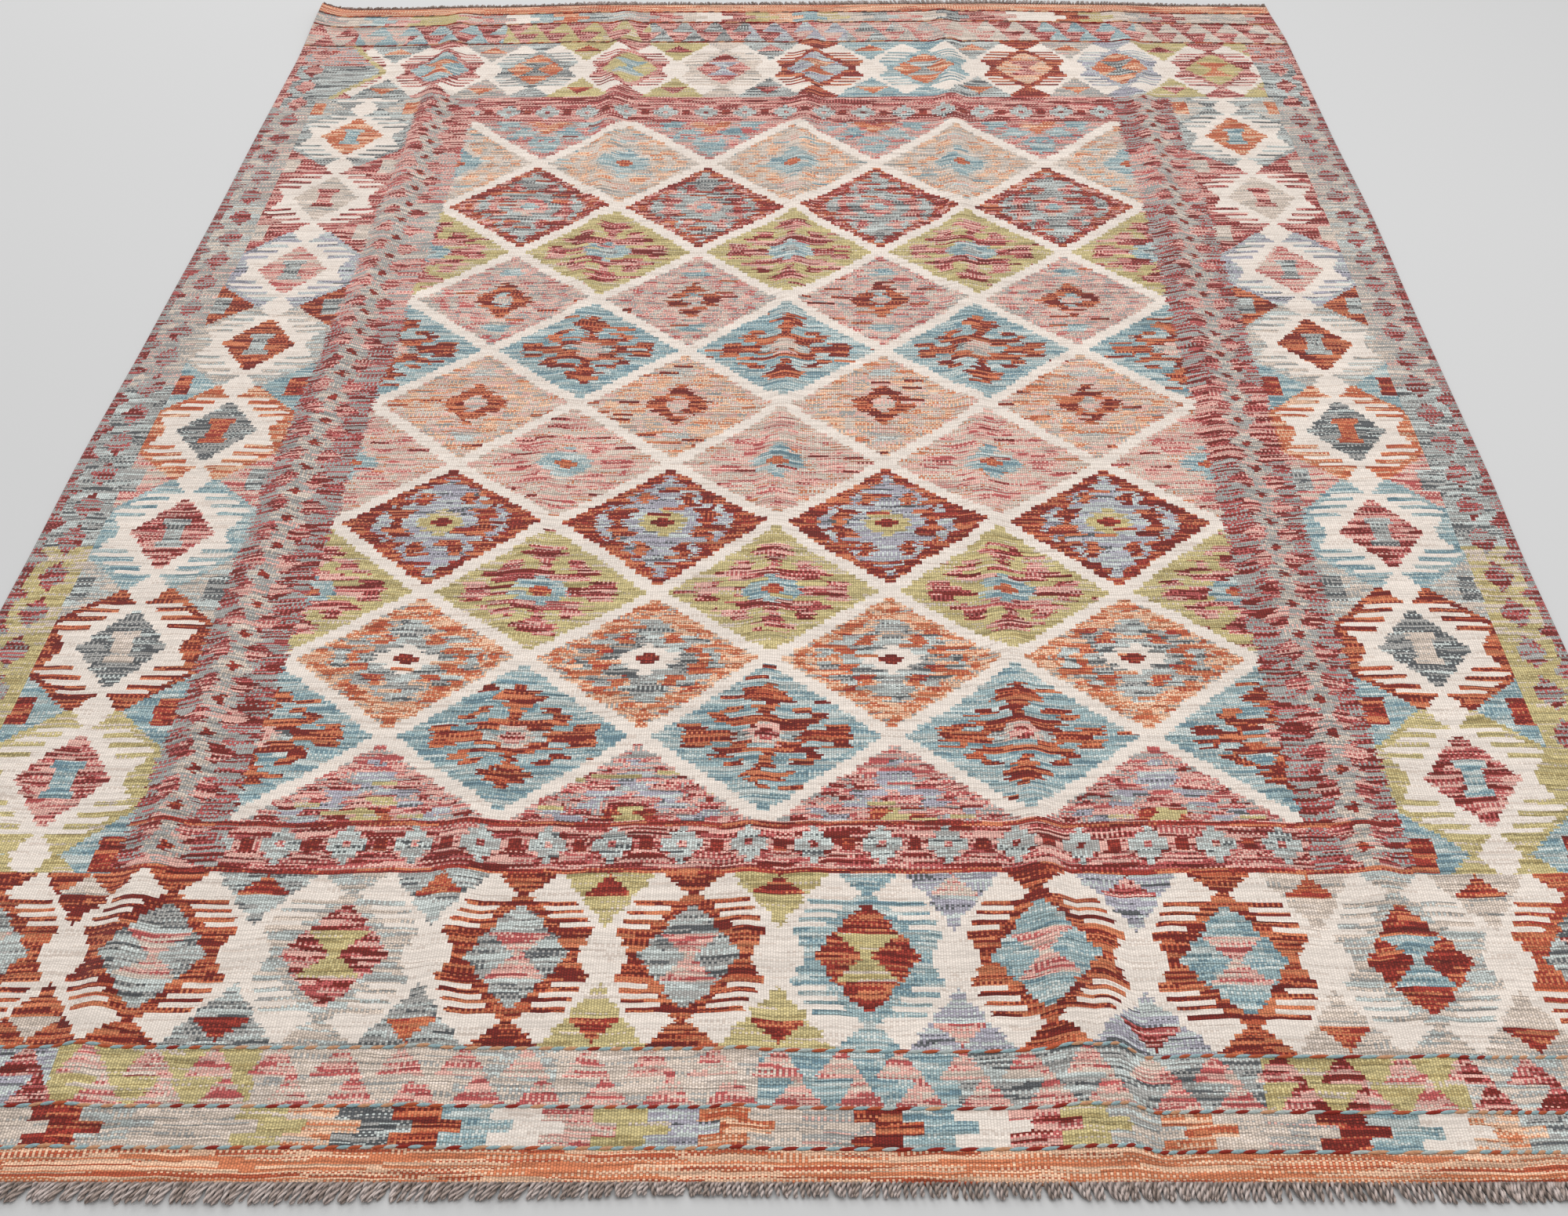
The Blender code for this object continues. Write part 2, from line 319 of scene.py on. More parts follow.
def choose(mask, yes, no):
    """`yes` where the mask is one and `no` where it is nought."""
    node = mask.socket.id_data.nodes.new("ShaderNodeMix")
    feed(node.inputs[0], mask)
    feed(node.inputs[2], no)
    feed(node.inputs[3], yes)
    return Number(node.outputs[0])


def between(value, low, high):
    """One where the value lies between two bounds."""
    return (value > low) & (value < high)


def clamped(value, low, high):
    """The value, kept between two bounds."""
    return maths("MINIMUM", maths("MAXIMUM", value, low), high)


def scaled(value, spread, least):
    """A number from 0 to 1, stretched to run from `least` to `least` plus `spread`."""
    return value * spread + least


# %% [markdown]
# Two kinds of table are looked up in the pattern. A Color Ramp with constant stops is a list: its
# four channels are four columns, and it holds up to 32 rows. With linear stops it is a curve.

# %% Tables as colour ramps
RAMP_ROWS = 32


def ramp(where, stops, interpolation):
    """A Color Ramp with a list of (position, (four channels)) stops; gives its two outputs."""
    node = where.socket.id_data.nodes.new("ShaderNodeValToRGB")
    node.color_ramp.interpolation = interpolation
    elements = node.color_ramp.elements
    while len(elements) > 1:
        elements.remove(elements[-1])
    elements[0].position = stops[0][0]
    elements[0].color = stops[0][1]
    for position, channels in stops[1:]:
        elements.new(position).color = channels
    feed(node.inputs[0], where)
    return node.outputs[0], node.outputs[1]


def channels(colour):
    """A colour's red, green and blue as three numbers."""
    split = colour.id_data.nodes.new("ShaderNodeSeparateColor")
    split.id_data.links.new(colour, split.inputs[0])
    return [Number(socket) for socket in split.outputs]


def table(where, rows):
    """Look a whole number up in a list of rows, each of up to four numbers from 0 to 1."""
    found = None
    for start in range(0, len(rows), RAMP_ROWS):
        part = rows[start:start + RAMP_ROWS]
        stops = [(k / len(part), (*row, 0.0, 0.0, 0.0, 0.0)[:4]) for k, row in enumerate(part)]
        colour, last = ramp((where + (0.5 - start)) * (1.0 / len(part)), stops, "CONSTANT")
        values = (channels(colour) + [Number(last)])[:len(rows[0])]
        if found is None:
            found = values
        else:
            later = where > start - 0.5
            found = [choose(later, new, old) for new, old in zip(values, found)]
    return found


def curve(where, points):
    """A line through (where, value) points, straight between them, for values of any size."""
    low, high = points[0][0], points[-1][0]
    values = [value for _, value in points]
    base, span = min(values), max(values) - min(values)
    stops = [((place - low) / (high - low), ((value - base) / span,) * 3 + (1.0,))
             for place, value in points]
    colour, _ = ramp((where - low) * (1.0 / (high - low)), stops, "LINEAR")
    return channels(colour)[0] * span + base


# %% Random numbers


def vector(tree, *parts):
    """A vector of up to three numbers."""
    node = tree.nodes.new("ShaderNodeCombineXYZ")
    for port, part in zip(node.inputs, parts):
        feed(port, part)
    return node.outputs[0]


def random_number(tree, column, row, seed):
    """A random number from 0 to 1 for each whole column and row."""
    place = vector(tree, column, row, seed)
    node = tree.nodes.new("ShaderNodeTexWhiteNoise")
    node.noise_dimensions = "3D"
    tree.links.new(place, node.inputs[0])
    return Number(node.outputs[0])


def set_inputs(node, values):
    """Set plain numbers on a node's named inputs."""
    for label, value in values.items():
        node.inputs[label].default_value = value


def cloudy_number(tree, x, y, scale, detail=1.0):
    """A smooth random number around 0.5, with patches of about 1/scale metres."""
    place = vector(tree, x, y)
    node = tree.nodes.new("ShaderNodeTexNoise")
    node.noise_dimensions = "2D"
    set_inputs(node, {"Scale": scale, "Detail": detail})
    tree.links.new(place, node.inputs["Vector"])
    return Number(node.outputs[0])


# %% [markdown]
# ## The yarns
#
# Eighteen yarns are enough here. Hardly any patch is of one yarn alone: two or three are
# changed from one pass of the weft to the next, or run side by side, which gives the streaks. So
# each patch is named by a blend: a main yarn, a second and a third one with their shares, and
# how much of the patch is dotted, where two wefts cross over each other rib by rib.

# %% Dyed yarns and their blends


def linear(red, green, blue):
    """A colour as seen on a screen, 0 to 255, in the linear light that shaders count in."""
    seen = np.array([red, green, blue]) / 255.0
    light = np.where(seen <= 0.04045, seen / 12.92, ((seen + 0.055) / 1.055) ** 2.4)
    return tuple(float(part) for part in light)


YARNS_AS_SEEN = {
    "cream": (229, 217, 206), "cream shade": (212, 197, 185), "deep red": (110, 32, 24),
    "red": (150, 52, 40), "rust": (172, 82, 54), "orange": (194, 116, 80),
    "peach": (222, 180, 150), "pink": (212, 164, 152), "rose": (172, 82, 80),
    "light blue": (146, 166, 168), "blue": (104, 130, 140), "pale blue": (186, 192, 188),
    "grey": (156, 154, 150), "slate": (84, 86, 88), "olive": (190, 174, 124),
    "olive shade": (164, 146, 98), "beige": (200, 184, 170), "lavender": (160, 156, 166),
}
YARNS = {name: linear(*seen) for name, seen in YARNS_AS_SEEN.items()}

Blend = namedtuple("Blend", "main second third second_share third_share dotted")
BLENDS = {name: Blend(*row) for name, row in {
    "cream": ("cream", "cream shade", "cream shade", 0.10, 0.05, 0.0),
    "red": ("red", "deep red", "orange", 0.36, 0.32, 0.03),
    "brick": ("rust", "deep red", "orange", 0.44, 0.36, 0.03),
    "orange": ("orange", "rust", "peach", 0.34, 0.34, 0.03),
    "peach": ("peach", "orange", "beige", 0.30, 0.22, 0.06),
    "pink": ("pink", "rose", "beige", 0.28, 0.34, 0.02),
    "rose": ("rose", "deep red", "pink", 0.34, 0.42, 0.03),
    "light blue": ("light blue", "pale blue", "blue", 0.34, 0.24, 0.0),
    "blue grey": ("grey", "slate", "pale blue", 0.24, 0.38, 0.02),
    "slate": ("slate", "grey", "pale blue", 0.40, 0.20, 0.04),
    "olive": ("olive", "olive shade", "beige", 0.24, 0.12, 0.0),
    "beige": ("beige", "grey", "cream shade", 0.16, 0.24, 0.02),
    "lavender": ("lavender", "pale blue", "slate", 0.38, 0.12, 0.03),
    "pink heather": ("beige", "pink", "grey", 0.36, 0.26, 0.04),
    "peach heather": ("peach", "grey", "orange", 0.30, 0.24, 0.05),
    "grey heather": ("beige", "pink", "orange", 0.34, 0.16, 0.05),
    "skirt": ("peach", "orange", "rust", 0.40, 0.24, 0.0),
    "guard red": ("rose", "pink", "deep red", 0.46, 0.34, 0.04),
    "guard heather": ("rose", "grey", "deep red", 0.46, 0.30, 0.0),
    "guard grey": ("grey", "beige", "pink", 0.36, 0.16, 0.04),
    "flower grey": ("pale blue", "grey", "slate", 0.40, 0.10, 0.04),
    "base heather": ("pink", "grey", "rose", 0.34, 0.28, 0.05),
    "top heather": ("pink", "light blue", "red", 0.34, 0.26, 0.05),
    "deep red": ("deep red", "red", "rust", 0.30, 0.12, 0.05),
    "orange rust": ("orange", "red", "rust", 0.30, 0.34, 0.06),
    "pale grey": ("grey", "beige", "pale blue", 0.42, 0.34, 0.0),
    "olive beige": ("olive", "beige", "olive shade", 0.40, 0.20, 0.0),
}.items()}
BLEND_ORDER = list(BLENDS)
BLEND_SLOTS = 32


def slot(name):
    """A blend's place in the list, as a share that a ramp's channel can hold."""
    return BLEND_ORDER.index(name) / BLEND_SLOTS


def slots(rows, first=0, last=None):
    """The slots of some columns in a table of blend names."""
    return [[slot(name) for name in row[first:last]] for row in rows]


def listed(text):
    """The names in a text, parted by commas."""
    return [name.strip() for name in text.split(",")]


def rows_of(text):
    """A list of names for each line of a text."""
    return [listed(line) for line in text.strip().splitlines()]


print(len(YARNS), "yarns in", len(BLENDS), "blends")

# %% [markdown]
# ## The field's chart
#
# The middle of the rug is a lattice of diamonds: seven rows of four and, between them, six rows of
# five. The guards around it hide half of the first and last row, and half of the outer diamonds
# in the rows of five. A weaver makes each diamond from memory, by counting from its middle, and
# all four quarters mirror each other. So a small chart of one quarter is enough: the first letter
# of its first line is the middle of the diamond, lines go upwards and letters sideways.
#
# Letters: . ground, f figure, g inner ground, c middle, x mark, o star, s tip, k short dash.
# The mark is too small for the chart's cells, so a formula draws it. A letter's number has three
# bits, and a line of the chart is stored as three whole numbers, one for each bit.

# %% Quarter charts of the diamonds
LETTERS = ".fgcxosk"
CHART_LINES = 12
CHART_SPAN = 2.0**20
CHARTS = {
    "base": """ooggkk.cccc..kkk.. oggg..kkkkccc... kkk.cccc..kkk.. kk..cc.kk..k. .cccccc.kkk.
        cc.kkkk.kk. ccc..kk... ccc...kk. ...kk.. c..... .... ..""",
    "hooked": """cccggffffffff..... ccffff...ffff... ffffffff....... f.....fff.... f...fff.....
        ff......... ffff...... fff...... f...... ...... .... ..""",
    "star": """cccccgggffggf.ff.. cccgggkkkggg.ff. cggggggffffff.. gggkkkgggg.f. gg.kkgggff..
        gggg..kkff. ggg.ffff.. gg..fff.. .fff... f..ff. ff.. f.""",
    "arrows": """cccccffffffff..... cccc.....ffff... cfffffff....... ffffffffff... f...ffff....
        f...fff.... ff........ ffff..... fff.... ...... .... ..""",
    "filled": """oooogggkkgggkffkff ooogggkkkkggfkkf oggggkkkkggffkf ggggggggkgfkk gggkkgkkfkkf
        ggkkkggfkkf gggkkgfkff gggggfkkf gggffkf gkfkff gffk ff""",
    "dashes": """ccccc..kkkkkk..... cccc...kkkkk.... cc..kkk...kk... c.kkkkkk..... ...kkkkkk...
        sss..k.kkk. s.kk...... ssss..... sss.... sss... s... ..""",
    "ring": """ccffff..kk..kkk... cffff.kkk..kk... fff...kkk..kk.. ff..kk..kkkk. f..kkk..kkk.
        ..kkkk..kk. ..kkk..kk. ggg..kkk. gg..kk. ..kk.. .kk. k.""",
}
CHART_ORDER = list(CHARTS)

# Each row of diamonds from the near end: its chart, then the blend of each letter.
FieldRow = namedtuple("FieldRow", "chart ground figure inner middle mark star tip dash")
FIELD_ROWS = [FieldRow(*row) for row in rows_of("""
base, base heather, olive, red, lavender, olive, olive, red, rose
hooked, light blue, brick, blue grey, pink heather, rose, olive, slate, rose
star, peach heather, orange, blue grey, cream, deep red, cream, slate, orange rust
arrows, olive, rose, light blue, light blue, orange rust, olive, rose, rose
filled, red, red, lavender, olive, deep red, olive, lavender, brick
dashes, grey heather, rose, pink heather, light blue, orange rust, olive, pink, pink
ring, grey heather, brick, pale grey, pink heather, pink heather, olive, red, peach heather
hooked, light blue, brick, blue grey, pink heather, pink heather, olive, slate, rose
ring, pink heather, brick, light blue, light blue, pink heather, olive, orange, base heather
arrows, olive, rose, light blue, light blue, blue grey, olive, rose, rose
filled, red, red, blue grey, pink, light blue, pink, light blue, rose
ring, beige, light blue, grey heather, light blue, orange rust, olive, orange, peach heather
dashes, base heather, rose, light blue, orange, rose, olive, light blue, light blue
""")]


def packed(line):
    """A chart line as three shares of 2^20: bit k of number p is bit p of cell k's letter."""
    codes = [LETTERS.index(letter) for letter in line]
    totals = [sum(((code >> plane) & 1) << cell for cell, code in enumerate(codes))
              for plane in range(3)]
    return [total / CHART_SPAN for total in totals]


CHART_TABLE = [packed(line) for chart in CHARTS.values() for line in chart.split()]
print(len(CHARTS), "quarter charts of", CHART_LINES, "lines for", len(FIELD_ROWS), "rows")

# %% [markdown]
# The formula for the lattice: with the distance across and along counted in half diamonds, a
# diamond's middle is where both sums c + r and c - r are odd. Rounding both sums to the nearest
# odd number gives the middle that a point belongs to, with no loop over diamonds.

# %% The lattice of diamonds
FIELD_LEFT = 0.388
HALF_DIAMOND = 0.15225       # metres across
CELLS_ACROSS = 20            # cells of the chart in half a diamond
CELLS_ALONG = 14
STEPS_ACROSS = 20            # steps of the lattice's own edge
STEPS_ALONG = 28
LATTICE_SHARE = 0.092        # half the width of a cream line, in half diamonds
MARK_DASH = (0.12, 0.04)     # half sizes of the mark's dash and square, in half diamonds
MARK_SQUARE = (0.045, 0.085)
ODD_GROUND, ODD_FIGURE = 0.94, 0.04   # passes above the first are ground, below the second figure
CHART_CODES = 16.0           # the chart's number is kept as a share of this
ROW_MIDDLES = ((0.480, 0.0), (0.6223, 1.0), (0.7652, 2.0), (0.9008, 3.0), (1.0543, 4.0),
               (1.1947, 5.0), (1.3524, 6.0), (1.5067, 7.0), (1.6613, 8.0), (1.8219, 9.0),
               (1.9854, 10.0), (2.1545, 11.0), (2.330, 12.0))


def field_pattern(x, y, ragged, odd_pass):
    """The field's blend: cream on the lattice, and elsewhere the diamond's chart and colours.

    `ragged` moves the passes of the weft sideways, in metres, and `odd_pass` is a random number
    for each of them.
    """
    c = (x - FIELD_LEFT) * (1.0 / HALF_DIAMOND)
    r = curve(y, ROW_MIDDLES)
    stepped_c = (floor(c * STEPS_ACROSS) + 0.5) * (1.0 / STEPS_ACROSS)
    stepped_r = (floor(r * STEPS_ALONG) + 0.5) * (1.0 / STEPS_ALONG)
    odd_sum = floor((stepped_c + stepped_r) * 0.5) * 2.0 + 1.0
    odd_difference = floor((stepped_c - stepped_r) * 0.5) * 2.0 + 1.0
    middle_c = (odd_sum + odd_difference) * 0.5
    middle_r = (odd_sum - odd_difference) * 0.5
    away_c, away_r = abs(stepped_c - middle_c), abs(stepped_r - middle_r)
    inside = away_c + away_r < 1.0 - LATTICE_SHARE
    line = maths("MINIMUM", floor(away_r * CELLS_ALONG), CHART_LINES - 1.0)
    ragged_cell = floor(abs(c + ragged * (1.0 / HALF_DIAMOND) - middle_c) * CELLS_ACROSS)
    codes = [(CHART_ORDER.index(row.chart) / CHART_CODES,) for row in FIELD_ROWS]
    chart = nearest(table(middle_r, codes)[0] * CHART_CODES)
    planes = table(chart * CHART_LINES + line, CHART_TABLE)
    divisor = maths("POWER", 2.0, maths("MINIMUM", ragged_cell, CELLS_ACROSS - 1.0))
    letter = None
    for weight, plane in zip((1.0, 2.0, 4.0), planes):
        bit = floor((plane * CHART_SPAN + 0.5) / divisor) % 2.0
        letter = bit * weight if letter is None else letter + bit * weight
    # Here and there a pass of the weft is woven in the ground's or the figure's yarns instead.
    figure = choose(odd_pass < ODD_FIGURE, 1.0, nearest(letter))
    letter = choose(odd_pass > ODD_GROUND, 0.0, figure)
    # The mark in the middle: a small square on a thin dash.
    dash = (away_c < MARK_DASH[0]) & (away_r < MARK_DASH[1])
    square = (away_c < MARK_SQUARE[0]) & (away_r < MARK_SQUARE[1])
    letter = choose(dash | square, float(LETTERS.index("x")), letter)
    names = [(name,) for row in FIELD_ROWS for name in row[1:]]
    blend = table(middle_r * float(len(LETTERS)) + letter, slots(names))[0]
    return choose(inside, blend, slot("cream"))


# %% [markdown]
# ## The borders
#
# Both borders repeat one motif: a stepped diamond with an hourglass in it, on a cream ground
# that coloured combs bite into. Between two motifs stand triangles. The motif is a formula of
# the distances u across and v along from its middle, in cells of about six millimetres, and
# small tables give each motif its colours, because the weaver changed them from one to the next.

# %% Motifs of the side borders
SIDE_MIDDLE = 0.178          # from the selvedge
SIDE_MOTIFS = ((0.305, -1.0), (0.55, 0.0), (0.785, 1.0), (1.03, 2.0), (1.28, 3.0), (1.525, 4.0),
               (1.76, 5.0), (2.02, 6.0), (2.27, 7.0), (2.515, 8.0))
SIDE_PITCH = 0.2457
CELL = 0.00625               # one step of the pattern, across
ROW_STEP = 0.00645           # and along
TOOTH_PITCH = 0.0092         # from one tooth of a comb to the next, along
SIDE_DIAMOND = (0.058, 0.082)   # half sizes across and along

# Near to far: diamond, hourglass and comb of each motif, then the triangles after it and the
# patches in them.
SIDE_COLOURS = rows_of("""
rose, light blue, olive, light blue, red
slate, beige, brick, pale grey, slate
rose, blue grey, light blue, pink, blue grey
slate, orange rust, orange, light blue, red
brick, blue grey, pale grey, brick, blue grey
pink, blue grey, lavender, rose, beige
beige, rose, rose, rose, beige
orange, light blue, blue grey, pale grey, orange
""")


def folded(value, pitch):
    """Steps away from the nearest whole number, in metres, and that whole number."""
    whole = nearest(value)
    return abs(value - whole) * pitch, whole


def stepped(distance, cell=CELL):
    """A distance in whole cells, measured at their middles."""
    return (floor(distance * (1.0 / cell)) + 0.5) * cell


def from_selvedge(x):
    """Distance from the nearer selvedge."""
    return maths("MINIMUM", x, WIDTH - x)


def in_diamond(u, v, half_across, half_along):
    """One inside a diamond of these half sizes."""
    return u * (1.0 / half_across) + v * (1.0 / half_along) < 1.0


def side_border(x, y):
    """The side border's blend, from the distances u and v to its middle line and the motif's.

    Each slanted edge is a straight line in u and v, in metres, that the steps cut into stairs.
    """
    u = stepped(abs(from_selvedge(x) - SIDE_MIDDLE))
    count = curve(y, SIDE_MOTIFS)
    v, motif = folded(count, SIDE_PITCH)
    v_rows = floor(v * (1.0 / TOOTH_PITCH))
    v = stepped(v, ROW_STEP)
    last = len(SIDE_COLOURS) - 1.0
    diamond, hourglass, comb = table(clamped(motif, 0.0, last), slots(SIDE_COLOURS, 0, 3))
    triangle, inner = table(clamped(floor(count), 0.0, last), slots(SIDE_COLOURS, 3))

    # Combs: every second row of the cream carries a tooth, shorter towards the junction.
    tooth = (abs(v_rows % 2.0) < 0.5) & between(v_rows, 3.5, 8.5) & (u > 0.075 - v_rows * 0.0065)
    cap = (v > 0.090) & (abs(u - 0.032) < (0.127 - v) * 0.75)
    block = (v < 0.036) & (u > v * 0.45 + 0.072)
    out = (u - 0.035) * (1.0 / 0.065) + (v - 0.1225) * (1.0 / 0.07)
    strip = between(out, -0.14, 0.0)
    result = choose((tooth | cap) | (block | strip), comb, slot("cream"))
    patch = (u > 0.078) & (v > 0.096)
    result = choose(out > 0.0, choose(patch, inner, triangle), result)
    waist = (u < v * 0.45 + 0.008) & (u < 0.026) & (v < 0.035)
    return choose(in_diamond(u, v, *SIDE_DIAMOND), choose(waist, hourglass, diamond), result)


# %% Motifs of the end borders
NEAR_MIDDLE = 0.283
FAR_MIDDLE = 2.570
END_PITCH = 0.1907
NEAR_MOTIFS = ((-0.026, -1.0), (0.165, 0.0), (0.355, 1.0), (0.549, 2.0), (0.740, 3.0),
               (0.922, 4.0), (1.112, 5.0), (1.298, 6.0), (1.501, 7.0), (1.689, 8.0),
               (1.881, 9.0), (2.072, 10.0))
FAR_MOTIFS = ((-0.087, -1.0), (0.104, 0.0), (0.294, 1.0), (0.485, 2.0), (0.669, 3.0),
              (0.855, 4.0), (1.040, 5.0), (1.256, 6.0), (1.455, 7.0), (1.640, 8.0),
              (1.830, 9.0), (2.021, 10.0))

END_DIAMOND = (0.058, 0.078)
END_BAND = (0.072, 0.098)    # half sizes of the ground's diamond round it

# Left to right: diamond, hourglass and ground of each motif, then the triangles after it and the
# small ones in them.
NEAR_COLOURS = rows_of("""
rose, blue grey, brick, brick, olive
blue grey, pink, brick, brick, beige
blue grey, pink, brick, blue grey, red
rose, olive, pale grey, blue grey, orange rust
blue grey, pink, brick, olive, red
blue grey, pink, brick, olive, red
red, olive, light blue, lavender, pink
light blue, pink, brick, lavender, rose
light blue, pink, brick, beige, orange rust
red, light blue, pale grey, beige, red
blue grey, rose, orange rust, beige, pink
rose, blue grey, brick, brick, beige
""")
FAR_COLOURS = rows_of("""
rose, blue grey, olive, olive, orange
olive, orange, rose, blue grey, orange
light blue, orange, rose, guard grey, orange
orange, slate, blue grey, olive, red
olive, light blue, rose, olive, rose
rose, lavender, beige, blue grey, rose
lavender, orange, red, light blue, orange
orange, blue grey, light blue, blue grey, orange
peach, rose, red, guard grey, orange
orange, slate, lavender, olive, rose
olive, orange, rose, olive, rose
rose, blue grey, olive, olive, orange
""")


def end_border(x, y, far):
    """The end borders' blend: the near and the far one share the formula, not the colours."""
    count = choose(far, curve(x, FAR_MOTIFS), curve(x, NEAR_MOTIFS))
    middle = choose(far, FAR_MIDDLE, NEAR_MIDDLE)
    u, motif = folded(count, END_PITCH)
    u = stepped(u)
    v = abs(y - middle)
    row = floor(v * (1.0 / ROW_STEP))
    v = (row + 0.5) * ROW_STEP
    motifs = NEAR_COLOURS + FAR_COLOURS
    skip = far * float(len(NEAR_COLOURS)) + 1.0
    diamond, hourglass, ground = table(motif + skip, slots(motifs, 0, 3))
    triangle, inner = table(floor(count) + skip, slots(motifs, 3))

    aside = END_PITCH / 2 - u
    tooth = (row % 2.0 > 0.5) & between(v, 0.034, 0.083) & (u < 0.105 - v * 0.6)
    bow = (v < 0.034) & (u < v * 0.65 + 0.062)
    foot = (v > 0.083) & (u < (v - 0.086) * 0.95 + 0.006)
    band = in_diamond(u, v, *END_BAND)
    result = choose((tooth | bow) | (foot | band), ground, slot("cream"))
    outer = aside < (v - 0.040) * (0.055 / 0.078)
    small = between(v, 0.082, 0.115) & (aside < (0.115 - v) * (0.03 / 0.033))
    result = choose(outer, choose(small, inner, triangle), result)
    waist = (v < 0.030) & (u < v * 0.8 + 0.005)
    return choose(in_diamond(u, v, *END_DIAMOND), choose(waist, hourglass, diamond), result)


# %% [markdown]
# ## Guards, bands and skirts
#
# Narrow guards lie between the borders: rows of small grey flowers with a red eye on streaky
# pink and red, and outermost a ladder of stepped diamonds. Each end closes with a band of
# triangles, a band of blocks that jump sideways row by row, and a plain orange skirt.

# %% Guards beside the side borders
FLOWER_PITCH = 0.0622
FLOWER_MIDDLE = 0.329        # of the inner guard, from the selvedge
FLOWER_STEP = 0.0043
FLOWER_EYE = (0.0085, 0.0105)
LADDER_PITCH = 0.078
LADDER_MIDDLE = 0.044        # of the outer guard
LADDER_DIAMOND = (0.022, 0.034)
LADDER_HALF = (0.026, 0.034)   # half diamonds along the selvedge
RED_PIECES_FROM = 2.40       # from here on the outer guard's pieces are redder
# Streaks behind the flowers for every twenty centimetres, left side then right side.
SIDE_GUARD_GROUNDS = rows_of("""
guard red, guard red
guard red, guard red
guard heather, guard heather
guard heather, guard heather
guard heather, guard heather
guard heather, guard heather
guard heather, rose
guard heather, guard heather
base heather, guard heather
guard grey, guard heather
base heather, base heather
guard red, guard heather
guard heather, guard heather
base heather, base heather
base heather, base heather
""")
# Ground of the outer guards for every twenty centimetres.
OUTER_GROUND = listed("""
guard grey, guard grey, olive, olive, olive beige, blue grey, blue grey, guard grey, guard grey,
pale grey, guard grey, guard grey, blue grey, top heather, guard grey
""")


def inner_guard(x, y):
    """Inner side guard: a chain of grey flowers with small eyes on pink and red streaks."""
    v, _ = folded(y * (1.0 / FLOWER_PITCH), FLOWER_PITCH)
    v = stepped(v, FLOWER_STEP)
    u = abs(from_selvedge(x) - FLOWER_MIDDLE)
    flower = u < choose(v < 0.009, 0.0235, choose(v < 0.019, 0.0155, 0.009))
    dark = (v > 0.011) & (u < 0.004 + v * 1.25)
    left, right = table(floor(y * 5.0), slots(SIDE_GUARD_GROUNDS))
    ground = choose(x < WIDTH / 2, left, right)
    result = choose(flower, slot("guard grey"), choose(dark, slot("rose"), ground))
    return choose(in_diamond(u, v, *FLOWER_EYE), slot("deep red"), result)


def outer_guard(x, y):
    """Outer guard: stepped diamonds in its middle and half ones along the selvedge."""
    v, _ = folded(y * (1.0 / LADDER_PITCH), LADDER_PITCH)
    v = stepped(v, 0.0065)
    u = stepped(from_selvedge(x))
    diamond = in_diamond(abs(u - LADDER_MIDDLE), v, *LADDER_DIAMOND)
    edge = in_diamond(u, LADDER_PITCH / 2 - v, *LADDER_HALF)
    ground = table(floor(y * 5.0), slots(zip(OUTER_GROUND)))[0]
    pieces = choose(y > RED_PIECES_FROM, slot("guard red"), slot("guard heather"))
    return choose((diamond | edge) | (u < 0.010), pieces, ground)


# %% Guards beside the end borders
NEAR_CROSSES, FAR_CROSSES = 0.443, 2.372   # how far along their middle lines lie
CROSS_PITCH = 0.075


def end_guard(x, y, far):
    """End guards: a row of cross-shaped grey flowers with stepped red feet between them."""
    middle = choose(far, FAR_CROSSES, NEAR_CROSSES)
    u, _ = folded((x - 0.380) * (1.0 / CROSS_PITCH), CROSS_PITCH)
    u = stepped(u, FLOWER_STEP)
    v = stepped(abs(y - middle), 0.0050)
    arms = ((u < 0.0225) & (v < 0.008)) | ((u < 0.014) & (v < 0.018))
    flower = arms | ((u < 0.005) & (v < 0.028))
    eye = (u < 0.0055) & (v < 0.0045)
    below = choose(far, y - middle, middle - y)
    halfway = CROSS_PITCH / 2 - u
    foot = (below > 0.008) & (halfway < below * 1.1 + 0.002)
    post = (v < 0.010) & (halfway < 0.008)
    result = choose(foot, slot("rose"), slot("guard red"))
    result = choose(post, slot("deep red"), result)
    result = choose(flower, slot("flower grey"), result)
    return choose(eye, slot("rose"), result)


# %% Bands at the ends
# Blocks of five centimetres from the left selvedge.
NEAR_BLOCKS = listed("""
olive, slate, pink, cream, lavender, beige, red, pale grey, beige, beige, olive, peach, slate,
brick, light blue, cream, pink, olive, lavender, orange, beige, guard grey, brick, light blue,
cream, rose, olive, pale grey, orange, beige, guard grey, red, light blue, cream, peach,
blue grey, olive, pink, red, beige
""")
FAR_BLOCKS = listed("""
guard grey, beige, light blue, pink, olive, olive, pink, base heather, cream, light blue, orange,
blue grey, pale grey, guard grey, rose, beige, cream, rose, olive, peach, light blue, olive beige,
beige, blue grey, pink, beige, slate, rose, pink, cream, cream, brick, olive beige, beige,
guard grey, rose, beige, guard grey, beige, rose
""")
# Every ten centimetres the near ground and its triangles, then the far ground and its triangles.
TRIANGLE_GROUNDS = rows_of("""
lavender, rose, pink heather, rose
lavender, rose, pink heather, light blue
lavender, rose, rose, light blue
olive, pink, rose, light blue
olive, pink, rose, olive
beige, pink, rose, olive
beige, pink, rose, olive beige
pale grey, pink, guard red, blue grey
beige, pink, guard red, slate
beige, pink, rose, lavender
light blue, pink, pink, lavender
light blue, pink, pink, blue grey
blue grey, pink, pink, guard grey
blue grey, pink, pink, beige
blue grey, pink, rose, beige
olive, rose, rose, light blue
olive, pink, rose, light blue
pale grey, rose, rose, beige
beige, pink, rose, beige
beige, rose, rose, beige
""")
TRIANGLE_PITCH = 0.0625


